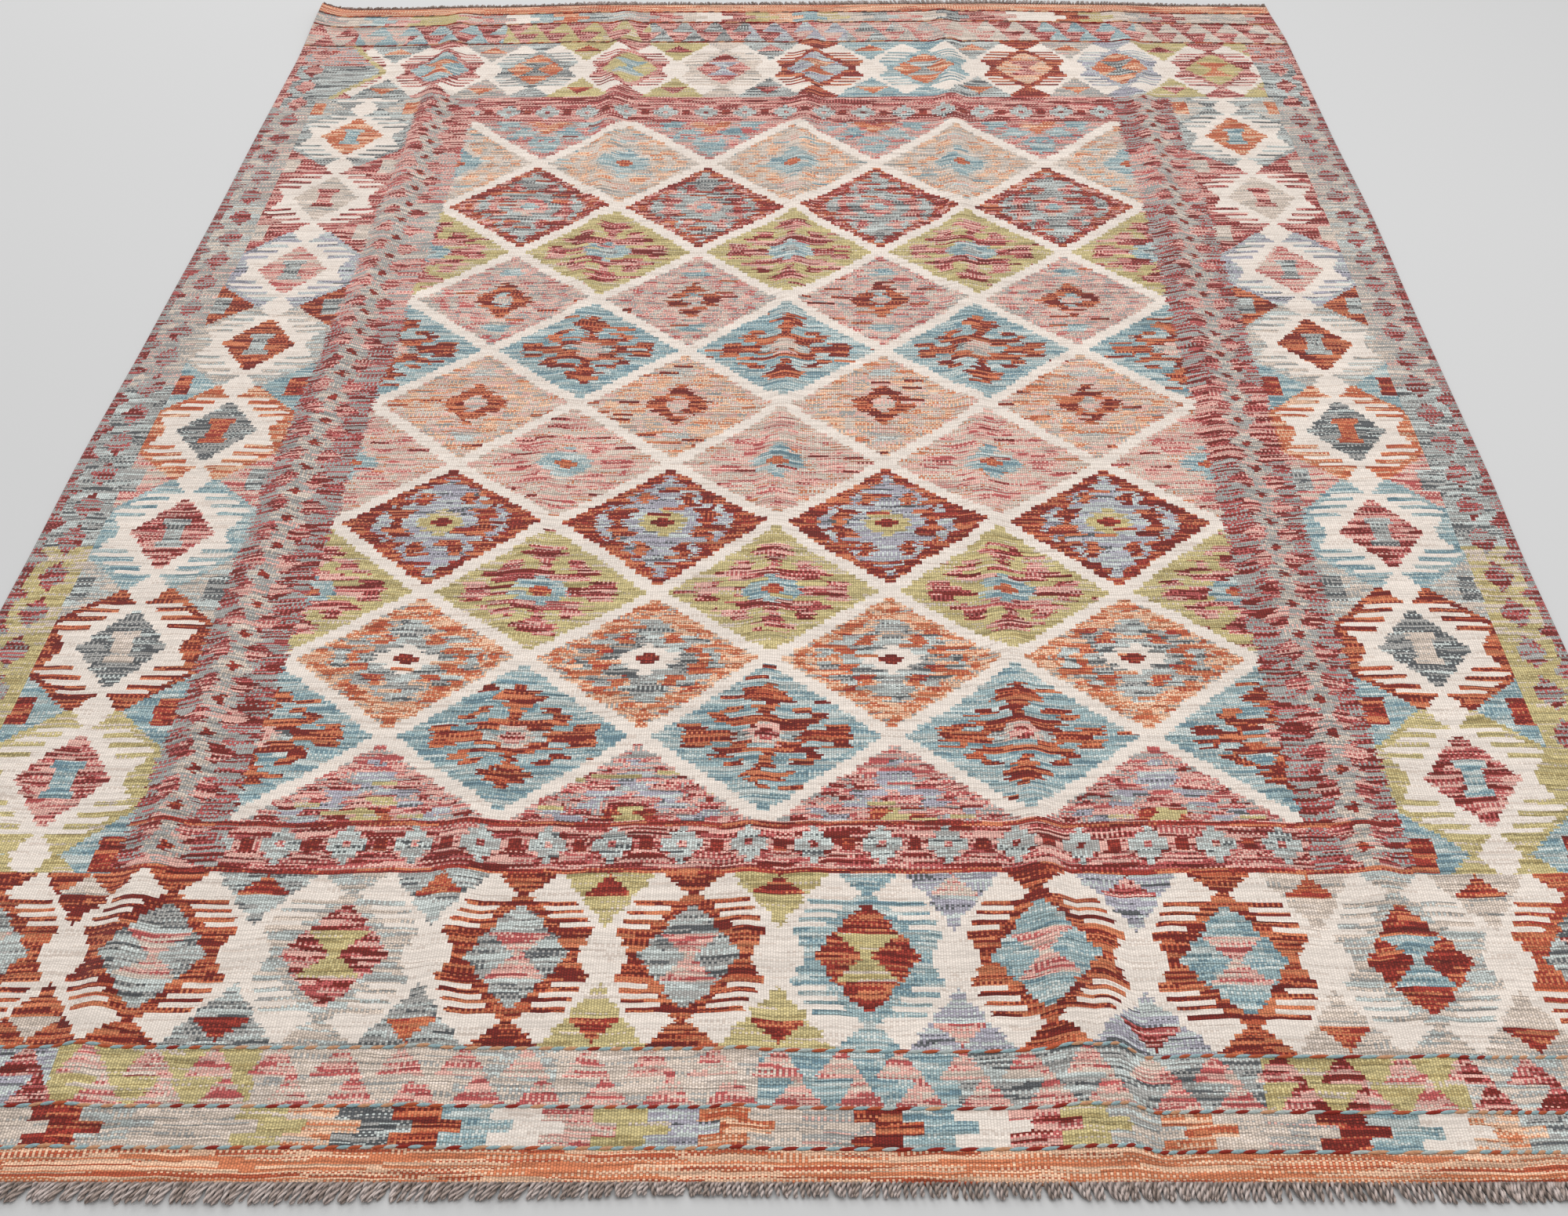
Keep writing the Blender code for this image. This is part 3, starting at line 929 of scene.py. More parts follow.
def block_band(x, y, far):
    """Bands of blocks: three rows of blocks, the middle one moved half a block sideways."""
    row = choose(far, floor((y - 2.80) * (1.0 / 0.019)), floor((y - 0.0412) * (1.0 / 0.0161)))
    middle = between(row, 0.5, 1.5)
    block = floor((x + 0.007 - middle * 0.022) * 20.0)
    near_blend, far_blend = table(block, slots(zip(NEAR_BLOCKS, FAR_BLOCKS)))
    return choose(far, far_blend, near_blend)


def triangle_band(x, y, far):
    """Bands of triangles: two rows of stepped triangles, standing with their points up."""
    height = (y - choose(far, 2.70, 0.0894)) / choose(far, 0.050, 0.0358)
    row = floor(height)
    share = (floor((height - row) * 6.0) + 0.5) * (1.0 / 6.0)
    u, _ = folded((x - 0.350 + row * 0.020) * (1.0 / TRIANGLE_PITCH), TRIANGLE_PITCH)
    pointed = u < (1.02 - share) * 0.023 + 0.003
    grounds = table(floor(x * 10.0), slots(TRIANGLE_GROUNDS))
    near_ground, near_triangle, far_ground, far_triangle = grounds
    triangle = choose(far, far_triangle, near_triangle)
    return choose(pointed, triangle, choose(far, far_ground, near_ground))


# %% [markdown]
# ## The whole pattern
#
# The zones are laid over each other from the field outwards, each by its bounds. What comes out
# is one number for each point of the cloth: which blend of yarns is woven there.

# %% Zones
SKIRT_NEAR, BLOCKS_NEAR, BORDER_NEAR = 0.0412, 0.0894, 0.161
GUARD_NEAR, FIELD_NEAR = 0.400, 0.480
FIELD_FAR, GUARD_FAR, BORDER_FAR = 2.330, 2.440, 2.700
BLOCKS_FAR, SKIRT_FAR = 2.800, 2.857
OUTER_GUARD, INNER_GUARD, FIELD_SIDE = 0.080, 0.280, 0.391


def pattern(x, y, ragged, odd_pass):
    """The slot of the blend that is woven at each point.

    `ragged` moves the edges of patches sideways: fully in the field, and less in the borders.
    """
    far = y > LENGTH / 2
    aside = from_selvedge(x)
    loose_x = x + ragged * 0.2
    guard_x = x + ragged * 0.9
    guard_aside = from_selvedge(guard_x)
    result = field_pattern(x, y, ragged, odd_pass)
    result = choose(between(y, FIELD_NEAR, FIELD_FAR), result, end_guard(loose_x, y, far))
    result = choose(guard_aside < FIELD_SIDE, inner_guard(guard_x, y), result)
    result = choose(guard_aside < INNER_GUARD, side_border(loose_x, y), result)
    result = choose(aside < OUTER_GUARD, outer_guard(loose_x, y), result)
    result = choose(between(y, GUARD_NEAR, GUARD_FAR), result, end_border(loose_x, y, far))
    # The far border stops short of the corners, where the outer guards run on beside it. On the
    # left they meet it in steps with an olive rim.
    left = x < WIDTH / 2
    corner = choose(left, stepped(abs(y - FAR_MIDDLE)) * -0.62 + 0.178, 0.085)
    rim = left & between(stepped(aside) - corner, 0.0, 0.014)
    result = choose(rim & (y > GUARD_FAR), slot("olive"), result)
    result = choose((stepped(aside) < corner) & (y > GUARD_FAR), outer_guard(loose_x, y), result)
    line = between(y, GUARD_NEAR - 0.001, GUARD_NEAR + 0.007)
    line = line | between(y, FIELD_NEAR - 0.009, FIELD_NEAR - 0.002)
    result = choose(line & (aside > INNER_GUARD), slot("red"), result)
    result = choose(between(y, BORDER_NEAR, BORDER_FAR), result, triangle_band(loose_x, y, far))
    result = choose(between(y, BLOCKS_NEAR, BLOCKS_FAR), result, block_band(loose_x, y, far))
    return choose(between(y, SKIRT_NEAR, SKIRT_FAR), result, slot("skirt"))


# %% [markdown]
# ## Passes, beads and streaks
#
# In this weave the weft hides the warps. Each pass of the weft shows on every second rib only, as
# a small upright bead, and the next pass fills the ribs between, so the beads lie like bricks.
# One pass of another colour is a dotted line, two are a wavy one, and two colours pass by pass
# give upright bars. The pattern is read at the middle of each rib and of each row, half a bead
# tall, so that its steps stay clean. Random numbers for longer and shorter stretches of a row, and
# for single passes, then decide which of the blend's three yarns shows.

# %% Streaks of yarn
RIB_PITCH = 0.00295
PICK_PITCH = 0.0017          # from one pass of the weft to the next
RUN_ROWS, RUN_LENGTH = 4.0, 0.064   # a long stretch of one yarn, in rows and in metres
FLECK_LENGTH = 0.042
CROSSING_ROWS, CROSSING_LENGTH = 5.0, 0.07   # where two wefts cross rib by rib
SKIRT_STRETCH = 0.65         # how much longer the skirt's passes run
RUN_WEIGHT, FLECK_WEIGHT, PASS_WEIGHT = 0.30, 0.42, 0.28
# The weighted sum of random numbers crowds around a half, so shares are drawn in towards it.
SHARE_SPREAD, SECOND_FROM, THIRD_FROM = 0.66, 0.18, 0.82


def streak(tree, x, row, length, seed):
    """A random number for each stretch of a row; every row's stretches start somewhere else."""
    start = random_number(tree, row, seed, seed + 0.5)
    return random_number(tree, floor(x * (1.0 / length) + start * 9.0), row, seed)


def yarn_colour(tree, blend, x, row, weft_pass):
    """The yarn's colour from the blend, the place across, and the numbers of row and bead."""
    position = nearest(blend * BLEND_SLOTS)
    fraction = (position + 0.5) * (1.0 / len(BLENDS))
    columns = (("main", "second_share"), ("second", "third_share"), ("third", "dotted"))
    ramps = []
    for yarn, share in columns:
        stops = [(k / len(BLENDS), (*YARNS[getattr(mix, yarn)], getattr(mix, share)))
                 for k, mix in enumerate(BLENDS.values())]
        ramps.append(ramp(fraction, stops, "CONSTANT"))
    (main, second_share), (second, third_share), (third, dotted) = ramps
    # A pass of the skirt runs on much farther than one in a small patch.
    skirt = BLEND_ORDER.index("skirt")
    x = x * (1.0 - between(position, skirt - 0.5, skirt + 0.5) * SKIRT_STRETCH)
    run = streak(tree, x, floor(row * (1.0 / RUN_ROWS)), RUN_LENGTH, 3.0)
    fleck = streak(tree, x, floor((row + 1.0) * 0.5), FLECK_LENGTH, 11.0)
    crossing = streak(tree, x, floor(row * (1.0 / CROSSING_ROWS)), CROSSING_LENGTH, 23.0)
    one_pass = streak(tree, x, weft_pass, FLECK_LENGTH, 13.0)
    chance = run * RUN_WEIGHT + fleck * FLECK_WEIGHT + one_pass * PASS_WEIGHT
    second_here = chance < Number(second_share) * SHARE_SPREAD + SECOND_FROM
    third_here = chance > THIRD_FROM - Number(third_share) * SHARE_SPREAD
    second_here = choose(crossing < Number(dotted), weft_pass % 2.0, second_here)
    colour = mix_colour(second_here, second, main)
    return mix_colour(third_here, third, colour)


def mix_colour(mask, yes, no):
    """The colour `yes` where the mask is one, and `no` elsewhere."""
    node = mask.socket.id_data.nodes.new("ShaderNodeMix")
    node.data_type = "RGBA"
    feed(node.inputs[0], mask)
    node.id_data.links.new(no, node.inputs[6])
    node.id_data.links.new(yes, node.inputs[7])
    return node.outputs[2]


# %% The weave as a node group


def new_group(name, inputs, outputs):
    """A shader node group of named numbers, with each input's usual value.

    Gives its tree, the node where the inputs come in and the one where the outputs leave.
    """
    tree = bpy.data.node_groups.new(name, "ShaderNodeTree")
    for label, value in inputs.items():
        made = tree.interface.new_socket(label, in_out="INPUT", socket_type="NodeSocketFloat")
        made.default_value = value
    for label in outputs:
        tree.interface.new_socket(label, in_out="OUTPUT", socket_type="NodeSocketFloat")
    return tree, tree.nodes.new("NodeGroupInput"), tree.nodes.new("NodeGroupOutput")


# The weave's Shade is painted shade: it darkens the cloth's colour from the top of each bead to
# its rim and to the grooves between ribs.
WEAVE_LIGHT = (1.16, 0.17)   # spread and least of the light on a bead, from its rim to its top
weave, weave_in, weave_out = new_group(
    "rib_weave", {"Across": 0.0, "Along": 0.0, "Rib": RIB_PITCH, "Pick": PICK_PITCH},
    ("Height", "Shade", "Bead Across", "Row Along", "Row", "Pass"))
across, along, rib_pitch, pick_pitch = (Number(port) for port in weave_in.outputs[:4])
unevenness = cloudy_number(weave, across, along, 90.0) - 0.5
rib = (across + unevenness * 0.0010) / rib_pitch
rib_number = floor(rib)
height_along = (along + unevenness * 0.0008) / pick_pitch
row = floor(height_along)
# Beads are two rows tall, and on every second rib they start one row lower.
lower = rib_number % 2.0
bead = (height_along + lower) * 0.5
weft_pass = floor(bead) * 2.0 - lower
rib_wave = maths("POWER", maths("SINE", (rib % 1.0) * np.pi), 0.7)
bead_wave = maths("SINE", (bead % 1.0) * np.pi)
height = (rib_wave * 0.62 + 0.38) * (bead_wave * 0.42 + 0.58)
# Height makes the bumps; Shade is the painted shade that goes into the colour.
for label, value in {"Height": height, "Shade": scaled(height, *WEAVE_LIGHT),
                     "Bead Across": (rib_number + 0.5) * rib_pitch,
                     "Row Along": (row + 0.5) * pick_pitch,
                     "Row": row, "Pass": weft_pass}.items():
    feed(weave_out.inputs[label], value)
print("The weave group has", len(weave.nodes), "nodes")

# %% [markdown]
# The cloth's material puts it together. Its UV map holds the pattern's own coordinates, so the
# pattern goes with the threads over creases and bows, as in the real weave. Wool is matte: high
# roughness and a little sheen. A slow change of lightness, abrash, runs across the whole rug.

# %% Material of the woven wool
RAGGED_REACH = 0.010         # spread of where a pass of the weft turns back at a patch's edge
# Spread and least of the lightness from stretch to stretch of a row, from bead to bead, and over
# the whole cloth.
DYE_LIGHT, BEAD_LIGHT, ABRASH_LIGHT = (0.42, 0.83), (0.28, 0.89), (0.18, 0.91)
# Painted shade: a share of the stretches of a row are darkened, as if they lay deeper.
SHADED_STRETCH_SHARE, STRETCH_PAINTED_SHADE = 0.20, 0.32   # some stretches of a row lie deeper
CREAM_DEPTH = 0.38


def place_on_cloth(tree):
    """Distances across and along the cloth in metres, read from its UV map."""
    uv = tree.nodes.new("ShaderNodeUVMap")
    uv.uv_map = "OFBake"
    parts = tree.nodes.new("ShaderNodeSeparateXYZ")
    tree.links.new(uv.outputs[0], parts.inputs[0])
    return Number(parts.outputs[0]) * WIDTH, Number(parts.outputs[1]) * LENGTH


def place_of_object(tree):
    """Object coordinates x and y, which are metres on the floor."""
    place = tree.nodes.new("ShaderNodeTexCoord")
    parts = tree.nodes.new("ShaderNodeSeparateXYZ")
    tree.links.new(place.outputs["Object"], parts.inputs[0])
    return Number(parts.outputs[0]), Number(parts.outputs[1])


def add_group(tree, group, **values):
    """Place a node group in a material and feed its named inputs."""
    node = tree.nodes.new("ShaderNodeGroup")
    node.node_tree = group
    for label, value in values.items():
        feed(node.inputs[label], value)
    return node


def new_material(name):
    """A material with nodes, and its tree."""
    material = bpy.data.materials.new(name)
    material.use_nodes = True
    return material, material.node_tree


def wool_surface(tree, colour, light, height, finish, bump_finish):
    """Matte wool: a colour made lighter or darker by `light`, which holds painted shade and random
    tone, with bumps of a varying height.

    `finish` and `bump_finish` are plain numbers for the surface and for its bump.
    """
    surface = tree.nodes["Principled BSDF"]
    tint = tree.nodes.new("ShaderNodeHueSaturation")
    tree.links.new(colour, tint.inputs["Color"])
    feed(tint.inputs["Value"], light)
    tree.links.new(tint.outputs[0], surface.inputs["Base Color"])
    set_inputs(surface, finish)
    bump = tree.nodes.new("ShaderNodeBump")
    set_inputs(bump, bump_finish)
    feed(bump.inputs["Height"], height)
    tree.links.new(bump.outputs[0], surface.inputs["Normal"])


def woven_wool():
    """Material of the whole cloth."""
    material, tree = new_material("woven_wool_pattern")
    x, y = place_on_cloth(tree)
    # The passes aren't quite straight: they wave slowly, and a little more from patch to patch.
    slow_wave = cloudy_number(tree, y, x + 5.0, 7.0) - 0.5
    small_wave = cloudy_number(tree, x, y + 3.0, 24.0) - 0.5
    weave_node = add_group(tree, weave, Across=x, Along=y + slow_wave * 0.009 + small_wave * 0.005)
    height, shade, bead_x, bead_y, row, weft_pass = (Number(port) for port in weave_node.outputs)
    wander = cloudy_number(tree, bead_x, bead_y, 9.0) - 0.5
    overshoot = streak(tree, bead_x, floor(row * 0.5), 0.050, 41.0) - 0.5
    odd_pass = streak(tree, bead_x, floor(row * (1.0 / RUN_ROWS)), 0.030, 57.0)
    blend = pattern(bead_x + wander * 0.010, bead_y, overshoot * RAGGED_REACH, odd_pass)
    colour = yarn_colour(tree, blend, bead_x, row, weft_pass)
    dye = streak(tree, bead_x, row, 0.10, 7.0)
    shaded_stretch = streak(tree, bead_x, row, 0.055, 9.0) < SHADED_STRETCH_SHARE
    bead_tone = random_number(tree, bead_x * (1.0 / RIB_PITCH), weft_pass, 5.0)
    abrash = cloudy_number(tree, bead_x * 0.3, bead_y, 14.0, 3.0)
    # Cream is spun more evenly and packed closer, so the painted shade of its ribs and rows and
    # the tones of its yarn show less.
    depth = choose(blend < 0.5 / BLEND_SLOTS, CREAM_DEPTH, 1.0)
    # The colour gets painted shade from the weave's Shade and on the stretches that lie deeper,
    # and the random tones of dye, beads and abrash.
    rows_light = scaled(dye, *DYE_LIGHT) * (1.0 - shaded_stretch * STRETCH_PAINTED_SHADE)
    rows_light = rows_light * scaled(bead_tone, *BEAD_LIGHT)
    light = ((shade * rows_light - 1.0) * depth + 1.0) * scaled(abrash, *ABRASH_LIGHT)
    wool_surface(tree, colour, light, height,
                 {"Roughness": 0.92, "Sheen Weight": 0.12, "Sheen Roughness": 0.6,
                  "Specular IOR Level": 0.15},
                 {"Strength": 0.7, "Distance": 0.0008})
    print("The cloth's material has", len(tree.nodes), "nodes")
    return material


wool_cloth = woven_wool()

# %% [markdown]
# ## The cloth
#
# The cloth is a closed sheet of three millimetres: an upper and a lower grid with the same plan
# and a rounded rim between them. Its grid lines bend with the creases, but the threads don't,
# because the rug was folded a little askew, so the UV map, which carries the pattern, undoes the
# creases' wander. The near bands aren't woven quite straight either: small tables shift them.

# %% The woven sheet
COLUMNS, ROWS = 181, 237
RIM_BULGE = 0.0009

# How far the near bands lie nearer than drawn, in millimetres, by distance from the left.
DROP_ACROSS = (0.00, 0.60, 0.90, 1.20, 1.27, 1.33, 1.38, 1.45, 1.60, 2.00)
DROP = (1.0, 1.5, 3.5, 6.5, 4.0, -4.0, 15.0, 12.0, 14.0, 13.0)
DROP_ALONG = (0.00, 0.05, 0.16, 0.28, 0.44)
DROP_SHARE = (0.0, 0.5, 1.0, 0.8, 0.0)


def pattern_drop(across, along):
    """How much farther along the pattern is read at a point, in metres."""
    return MM * eased(across, DROP_ACROSS, DROP) * eased(along, DROP_ALONG, DROP_SHARE)


def build_cloth(material):
    """The closed sheet with its rounded rim and the pattern's UV map."""
    across, along = np.meshgrid(np.linspace(0.0, WIDTH, COLUMNS), np.linspace(0.0, LENGTH, ROWS))
    x, y, z = lie(across, along)
    plan = np.stack([x + SHIFT[0], y + SHIFT[1]], axis=-1)
    top = np.concatenate([plan, (z + THICKNESS)[..., None]], axis=-1).reshape(-1, 3)
    under = np.concatenate([plan, z[..., None]], axis=-1).reshape(-1, 3)
    index = np.arange(ROWS * COLUMNS).reshape(ROWS, COLUMNS)
    rim = np.concatenate([index[0, :-1], index[:-1, -1], index[-1, :0:-1], index[:0:-1, 0]])
    ring = 0.5 * (top[rim] + under[rim])
    ahead, behind = np.roll(ring, -1, axis=0), np.roll(ring, 1, axis=0)
    way = ahead - behind
    outwards = np.stack([way[:, 1], -way[:, 0], np.zeros(len(rim))], axis=-1)
    outwards /= np.linalg.norm(outwards, axis=1, keepdims=True)
    ring = ring + RIM_BULGE * outwards
    points = np.concatenate([top, under, ring])
    below, middle = len(top), 2 * len(top)
    quads = [grid_faces(index), grid_faces(index)[:, ::-1] + below]
    circle = np.arange(len(rim)) + middle
    quads.append(np.stack([rim, circle, np.roll(circle, -1), np.roll(rim, -1)], axis=-1))
    quads.append(np.stack([circle, rim + below, np.roll(rim, -1) + below, np.roll(circle, -1)],
                          axis=-1))
    read = np.clip(along + pattern_drop(across, along), 0.0, LENGTH)
    threads = across + crest_wander(across, along)
    uv = np.stack([threads / WIDTH, read / LENGTH], axis=-1).reshape(-1, 2)
    uv = np.concatenate([uv, uv, uv[rim]])
    return add_mesh("woven_cloth", points, np.concatenate(quads), material, corner_values=uv)


cloth = build_cloth(wool_cloth)

# %% [markdown]
# ## Twined rows
#
# Where one band ends and the next begins, two thick yarns are twisted round each other and the
# warps. Each stitch is a small slanting spindle, at the near end dark red or orange and light blue
# by turns, and browner at the far end. All stitches of all rows are one array: a spindle's points
# for every stitch at once.

# %% Yarn of twining and fringe


FUZZ_LIGHT = (0.6, 0.7)      # spread and least of the lightness among the fibres


def yarn_material(name, colours, groove_shade, roughness):
    """Matte plied yarn. `shade` picks its colour, and a painted shade is nought between its plies.

    Both are attributes of the mesh's points, so they follow each yarn round its twist.
    """
    material, tree = new_material(name)
    values = []
    for label in ("shade", "yarn_painted_shade"):
        attribute = tree.nodes.new("ShaderNodeAttribute")
        attribute.attribute_name = label
        values.append(Number(attribute.outputs["Fac"]))
    shade, yarn_painted_shade = values
    stops = [(k / len(colours), (*colour, 1.0)) for k, colour in enumerate(colours)]
    colour, _ = ramp(shade, stops, "CONSTANT")
    fuzz = cloudy_number(tree, *place_of_object(tree), 900.0, 2.0)
    # Painted shade darkens the yarn between its plies, and the fibres' tone varies at random.
    light = scaled(yarn_painted_shade, 1.0 - groove_shade, groove_shade) * scaled(fuzz, *FUZZ_LIGHT)
    wool_surface(tree, colour, light, fuzz,
                 {"Roughness": roughness, "Sheen Weight": 0.15, "Specular IOR Level": 0.15},
                 {"Strength": 0.4, "Distance": 0.0004})
    return material


# %% Stitches of the twined rows
STITCH_PITCH = 0.0118
STITCH_LENGTH = 0.0150
STITCH_HALF_WIDTH = 0.0023
STITCH_HALF_HEIGHT = 0.0017
STITCH_SLANT = 0.0009        # metres that a stitch's ends lie to either side of its row
STITCH_LIFT = 0.0005         # its middle line rides this high over the cloth
SELVEDGE_GAP = 0.001
STITCH_RINGS, STITCH_SIDES = 7, 6


def spindle_points(rows, count):
    """Points of all stitches: for each, rings of a spindle lying along its row.

    A ring at share s of the stitch, -1 to 1, has the radius (1 - s^2)^0.6 of the full one. The
    stitch's middle line crosses its row at a slant, and everything rides on the cloth's top.
    Gives the points and a painted shade, a wave that winds round the spindle, nought between
    plies.
    """
    start = (np.arange(count) + 0.5) * (WIDTH / count)
    share = np.sin(np.linspace(-0.5, 0.5, STITCH_RINGS) * np.pi)
    angle = np.arange(STITCH_SIDES) * (2 * np.pi / STITCH_SIDES)
    s, a = share[None, :, None], angle[None, None, :]
    size = np.clip(1.0 - s * s, 0.01, 1.0) ** 0.6
    grids = []
    for along_row in rows:
        across = start[:, None, None] + s * STITCH_LENGTH / 2 + 0.0 * a
        across = np.clip(across, SELVEDGE_GAP, WIDTH - SELVEDGE_GAP)
        aside = s * STITCH_SLANT + size * STITCH_HALF_WIDTH * np.cos(a)
        at_row = along_row - pattern_drop(across, np.full_like(across, along_row))
        x, y, z = lie(across, at_row + aside)
        z = z + THICKNESS + STITCH_LIFT + size * STITCH_HALF_HEIGHT * np.sin(a)
        grids.append(np.stack([x + SHIFT[0], y + SHIFT[1], z], axis=-1))
    # Painted shade that winds round the spindle, darkest between the plies.
    yarn_painted_shade = 0.5 + 0.5 * np.cos(2.0 * a + 5.0 * s)
    return np.stack(grids), yarn_painted_shade


def build_twining(rows, name, material, shades):
    """One mesh of spindles. `shades` gives the colour number of each stitch in each row."""
    points, yarn_painted_shade = spindle_points(rows, shades.shape[1])
    whole = points.shape[:-1]
    index = np.arange(points[..., 0].size).reshape(-1, STITCH_RINGS, STITCH_SIDES)
    quads = grid_faces(index, around=True)
    first, last = index[:, 0], index[:, -1]
    caps = np.concatenate([first[:, [0, 1, 2, 3]], first[:, [0, 3, 4, 5]],
                           last[:, [3, 2, 1, 0]], last[:, [5, 4, 3, 0]]])
    shade = np.broadcast_to(shades[..., None, None], whole)
    return add_mesh(name, points.reshape(-1, 3), np.concatenate([quads, caps[:, ::-1]]), material,
                    point_values={"shade": shade, "yarn_painted_shade": np.broadcast_to(yarn_painted_shade, whole)})


# Dark red, orange, peach, light blue, pale blue and brown.
TWINE_COLOURS = [linear(*seen) for seen in (
    (152, 46, 34), (192, 94, 60), (212, 158, 120), (158, 186, 190), (188, 198, 194),
    (126, 84, 72))]
STITCHES = int(WIDTH / STITCH_PITCH)
chance = np.random.default_rng(7)
# Stretches of the warm yarn are dark red, others orange or peach; between them comes blue.
stretch = np.repeat(chance.integers(0, 3, (3, STITCHES // 12 + 1)), 12, axis=1)[:, :STITCHES]
warm = np.where(chance.random((3, STITCHES)) < 0.25, chance.integers(0, 3, (3, STITCHES)), stretch)
cool = chance.choice((3, 3, 4), (3, STITCHES))
near_shades = (np.where(np.arange(STITCHES) % 2 == 0, warm, cool) + 0.5) / len(TWINE_COLOURS)
far_shades = (chance.choice((5, 5, 1, 0, 2), (3, STITCHES)) + 0.5) / len(TWINE_COLOURS)
twine = yarn_material("twining_yarn", TWINE_COLOURS, 0.62, 0.9)
near_twining = build_twining(NEAR_TWINING, "near_twining", twine, near_shades)
far_twining = build_twining([LENGTH - gap for gap in FAR_TWINING], "far_twining", twine,
                            far_shades)

# %% [markdown]
# ## The fringes
#
# The warp ends are cut short: each is a fat little rope of two plies, knotted at the cloth's
# edge. Hair particles could make them, but a short rope shows its twist, so each is a tube whose
# cross-section has two lobes and turns on its way out. They lean by the table, in small tufts
# that stick together, and neighbours differ a little in length, lean and height.

# %% Two-ply fringe locks
LOCK_PITCH = 0.0042
LOCK_RADIUS = 0.0020
LOCK_TURNS = 2.2             # how often the two plies wind round each other
LOCK_RINGS, LOCK_SIDES = 11, 8
LOCK_LOBES = 0.28            # how far the plies stand out, as a share of the radius
LOCK_LIFT = 0.0030           # the highest locks lie this much above the lowest
ROOT_DEPTH = 0.0016          # the roots start this far inside the cloth
KNOT_AT, KNOT_WIDTH = 0.10, 0.09   # shares of the length
KNOT_SWELL, KNOT_RISE = 0.28, 0.0007
TUFT_WIDTH, TUFT_PULL = 0.026, 0.20
LEAN_SPREAD = 0.0020
SHORTEST = 0.18              # some locks are shorter by up to this share


def build_fringe(name, end, stations, lengths, leans, material, seed):
    """All locks of one fringe. `end` is -1 at the near end of the cloth and 1 at the far one.

    A lock's middle line runs from inside the cloth's edge to its tip, sagging to the floor, and
    its radius is r(1 + lobes cos 2(a - twist)) at the angle a, thicker in the knot at its root
    and rounded off at its blunt tip.
    """
    chance = np.random.default_rng(seed)
    count = int(WIDTH / LOCK_PITCH)
    across = (np.arange(count) + 0.5) * (WIDTH / count)
    length = MM * eased(across, stations, lengths)
    length = length * (1.0 - SHORTEST * chance.random(count) ** 2)
    lean = MM * eased(across, stations, leans)
    # Neighbours stick together in tufts of about six, whose tips draw together.
    tuft = np.floor(across / TUFT_WIDTH + 0.5 * np.sin(across * 31.0))
    tuft_middle = np.array([across[tuft == number].mean() for number in tuft])
    lean = lean + TUFT_PULL * (tuft_middle - across) + LEAN_SPREAD * chance.normal(size=count)
    s = np.linspace(0.0, 1.0, LOCK_RINGS)[None, :]
    edge = 0.0 if end < 0 else LENGTH
    root_x, root_y, root_z = lie(across, np.full(count, edge))
    root_x, root_y = root_x + SHIFT[0], root_y + SHIFT[1]
    middle_x = root_x[:, None] + lean[:, None] * s**1.2
    middle_x = np.clip(middle_x, root_x.min() + LOCK_RADIUS, root_x.max() - LOCK_RADIUS)
    middle_y = root_y[:, None] + end * (length[:, None] * s - ROOT_DEPTH)
    knot = np.exp(-((s - KNOT_AT) / KNOT_WIDTH) ** 2)
    blunt = np.clip(1.03 - s**14, 0.03, 1.0) ** 0.5
    radius = LOCK_RADIUS * (1.0 + KNOT_SWELL * knot) * blunt
    level = chance.random(count)[:, None]
    lift = LOCK_LIFT * level * np.clip(s * 3.0, 0.0, 1.0)
    middle_z = root_z[:, None] * (1.0 - 0.5 * s) + 1.2 * LOCK_RADIUS + lift + KNOT_RISE * knot
    angle = np.arange(LOCK_SIDES) * (2 * np.pi / LOCK_SIDES)
    phase = chance.random(count)[:, None] * np.pi
    twist = phase + s * LOCK_TURNS * np.pi
    turned = angle[None, None, :] - twist[..., None]
    ring = radius[..., None] * (1.0 + LOCK_LOBES * np.cos(2.0 * turned))
    x = middle_x[..., None] + ring * np.cos(angle)
    z = np.maximum(middle_z[..., None] + ring * np.sin(angle), 0.0002)
    y = np.broadcast_to(middle_y[..., None], x.shape)
    points = np.stack([x, y, z], axis=-1)
    index = np.arange(x.size).reshape(x.shape)
    quads = [grid_faces(index, around=True)]
    for rim in (index[:, 0, ::-1], index[:, -1]):
        quads += [rim[:, [0, 1, 2, 3]], rim[:, [0, 3, 4, 7]], rim[:, [4, 5, 6, 7]]]
    quads = np.concatenate(quads)
    if end > 0:
        quads = quads[:, ::-1]
    tone = np.broadcast_to(chance.random(count)[:, None, None], x.shape)
    # Painted shade: nought between the plies, and darker near the root, under the knot at the
    # cloth's edge.
    yarn_painted_shade = (0.5 + 0.5 * np.cos(2.0 * turned)) * (0.55 + 0.45 * np.clip(s * 4, 0, 1))[..., None]
    return add_mesh(name, points.reshape(-1, 3), quads, material,
                    point_values={"shade": tone, "yarn_painted_shade": yarn_painted_shade})


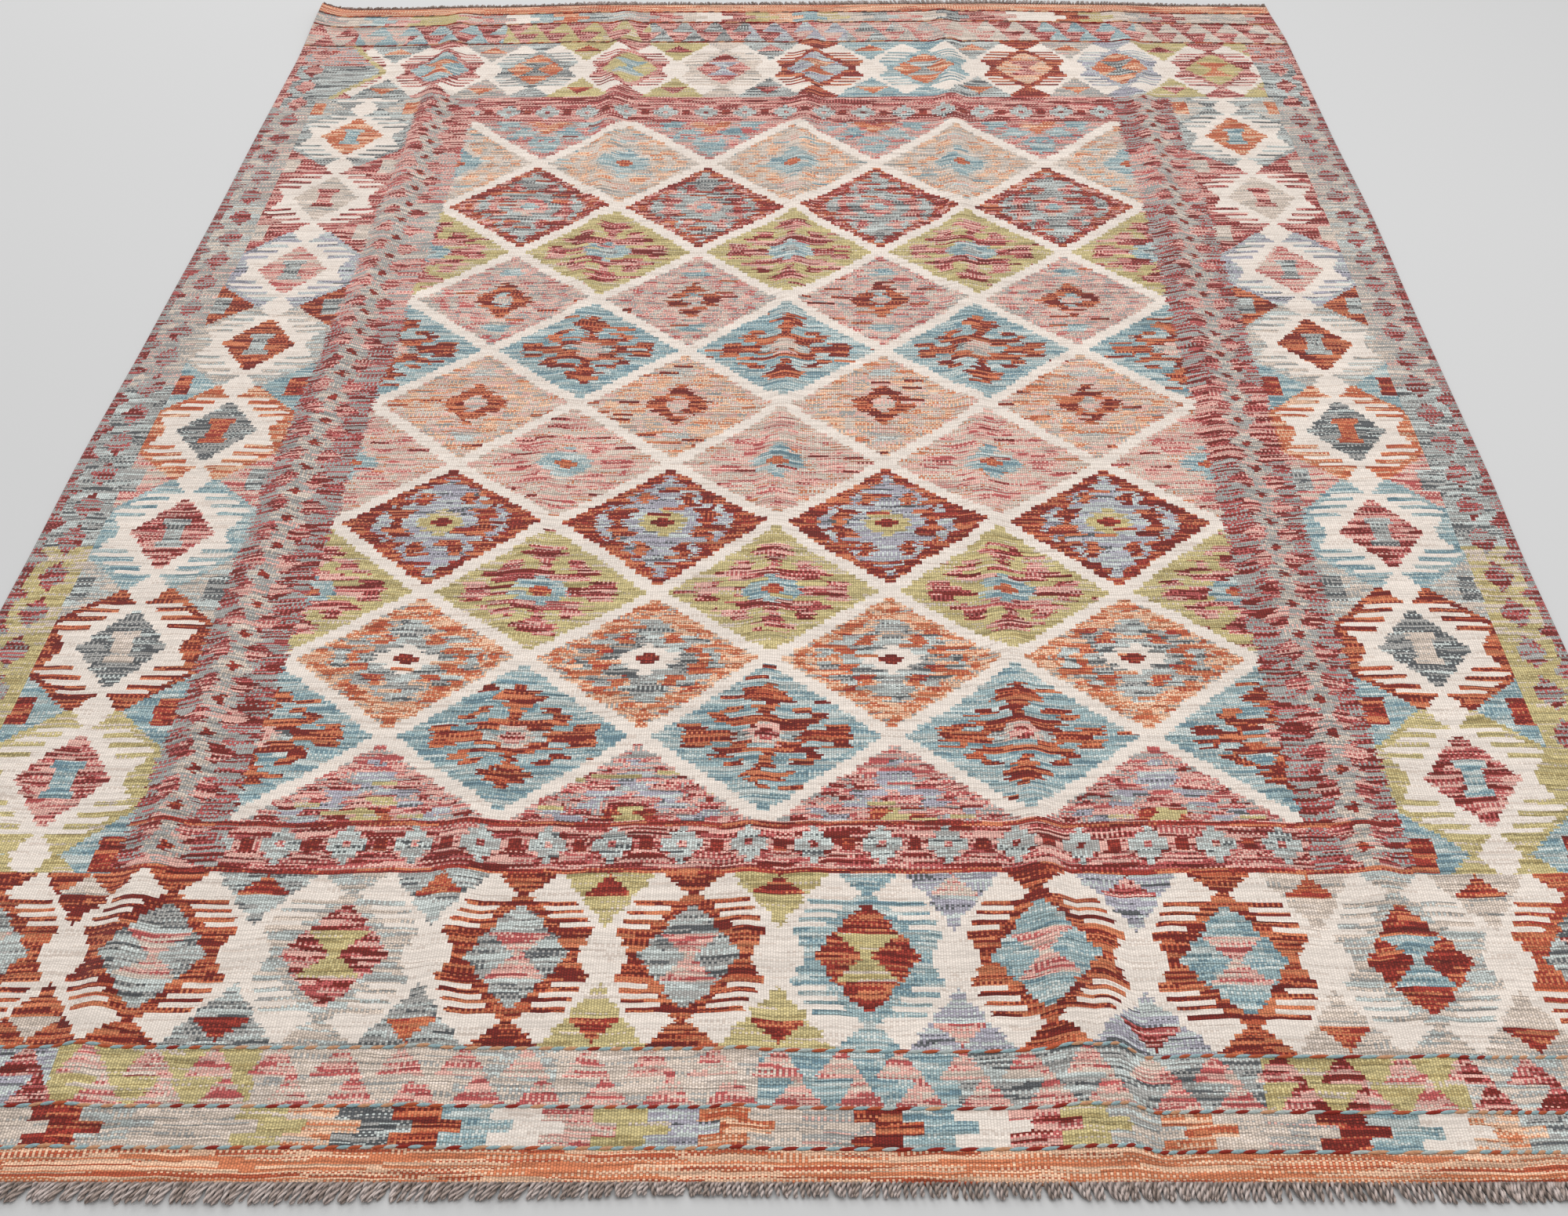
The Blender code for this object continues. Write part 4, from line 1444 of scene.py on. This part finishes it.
WARP_COLOURS = [linear(*seen) for seen in (
    (200, 181, 173), (212, 194, 186), (187, 168, 158), (222, 205, 198), (174, 155, 145))]
warp_wool = yarn_material("warp_wool_plies", WARP_COLOURS, 0.16, 0.95)
near_fringe = build_fringe("near_fringe", -1, NEAR_LOCK_ACROSS, NEAR_LOCK_LENGTH,
                           NEAR_LOCK_LEAN, warp_wool, 21)
far_fringe = build_fringe("far_fringe", 1, FAR_LOCK_ACROSS, FAR_LOCK_LENGTH, FAR_LOCK_LEAN,
                          warp_wool, 22)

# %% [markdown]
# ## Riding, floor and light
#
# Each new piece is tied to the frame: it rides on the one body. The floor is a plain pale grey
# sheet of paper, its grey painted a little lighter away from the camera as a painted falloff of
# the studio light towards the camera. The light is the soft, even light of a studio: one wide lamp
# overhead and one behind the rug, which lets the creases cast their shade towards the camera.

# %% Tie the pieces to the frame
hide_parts("kilim_cloth")
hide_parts("fringe_near")
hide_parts("fringe_far")
for piece in (cloth, near_twining, far_twining, near_fringe, far_fringe):
    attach(piece, "root")

# %% Floor and lights
# The paper's grey is painted lighter away from the camera: a painted falloff of the studio light.
FLOOR_GREY_AND_PAINTED_FALLOFF = ((-2.4, 0.56), (-1.2, 0.61), (0.5, 0.64))   # along the floor, then how light
floor_mesh = bpy.data.meshes.new("floor")
floor_mesh.from_pydata([(-30, -12, 0), (30, -12, 0), (30, 48, 0), (-30, 48, 0)], [],
                       [(0, 1, 2, 3)])
floor_piece = add_object("floor", floor_mesh)
paper, paper_tree = new_material("floor_paper")
floor_grey_and_falloff = curve(place_of_object(paper_tree)[1], FLOOR_GREY_AND_PAINTED_FALLOFF)
paper_surface = paper_tree.nodes["Principled BSDF"]
feed(paper_surface.inputs["Base Color"], floor_grey_and_falloff)
set_inputs(paper_surface, {"Roughness": 0.95, "Specular IOR Level": 0.0})
floor_mesh.materials.append(paper)


def soft_lamp(name, place, target, size, power):
    """A square area lamp that faces a point of the rug."""
    data = bpy.data.lights.new(name, "AREA")
    data.shape = "SQUARE"
    data.size = size
    data.energy = power
    lamp = add_object(name, data)
    lamp.location = place
    away = np.array(place) - np.array(target)
    tilt = np.arctan2(np.hypot(away[0], away[1]), away[2])
    lamp.rotation_euler = (tilt, 0.0, np.arctan2(away[0], -away[1]))


soft_lamp("back_softbox", (-1.2, 4.2, 3.4), (0.0, 0.4, 0.0), 3.5, 112.0)
soft_lamp("ceiling_softbox", (0.8, -0.8, 4.0), (0.0, 0.0, 0.0), 4.0, 89.0)

world = bpy.data.worlds.new("studio")
world.use_nodes = True
set_inputs(world.node_tree.nodes["Background"], {"Color": (1.0, 1.0, 1.0, 1.0), "Strength": 0.50})
bpy.context.scene.world = world
bpy.context.scene.view_settings.view_transform = "Standard"
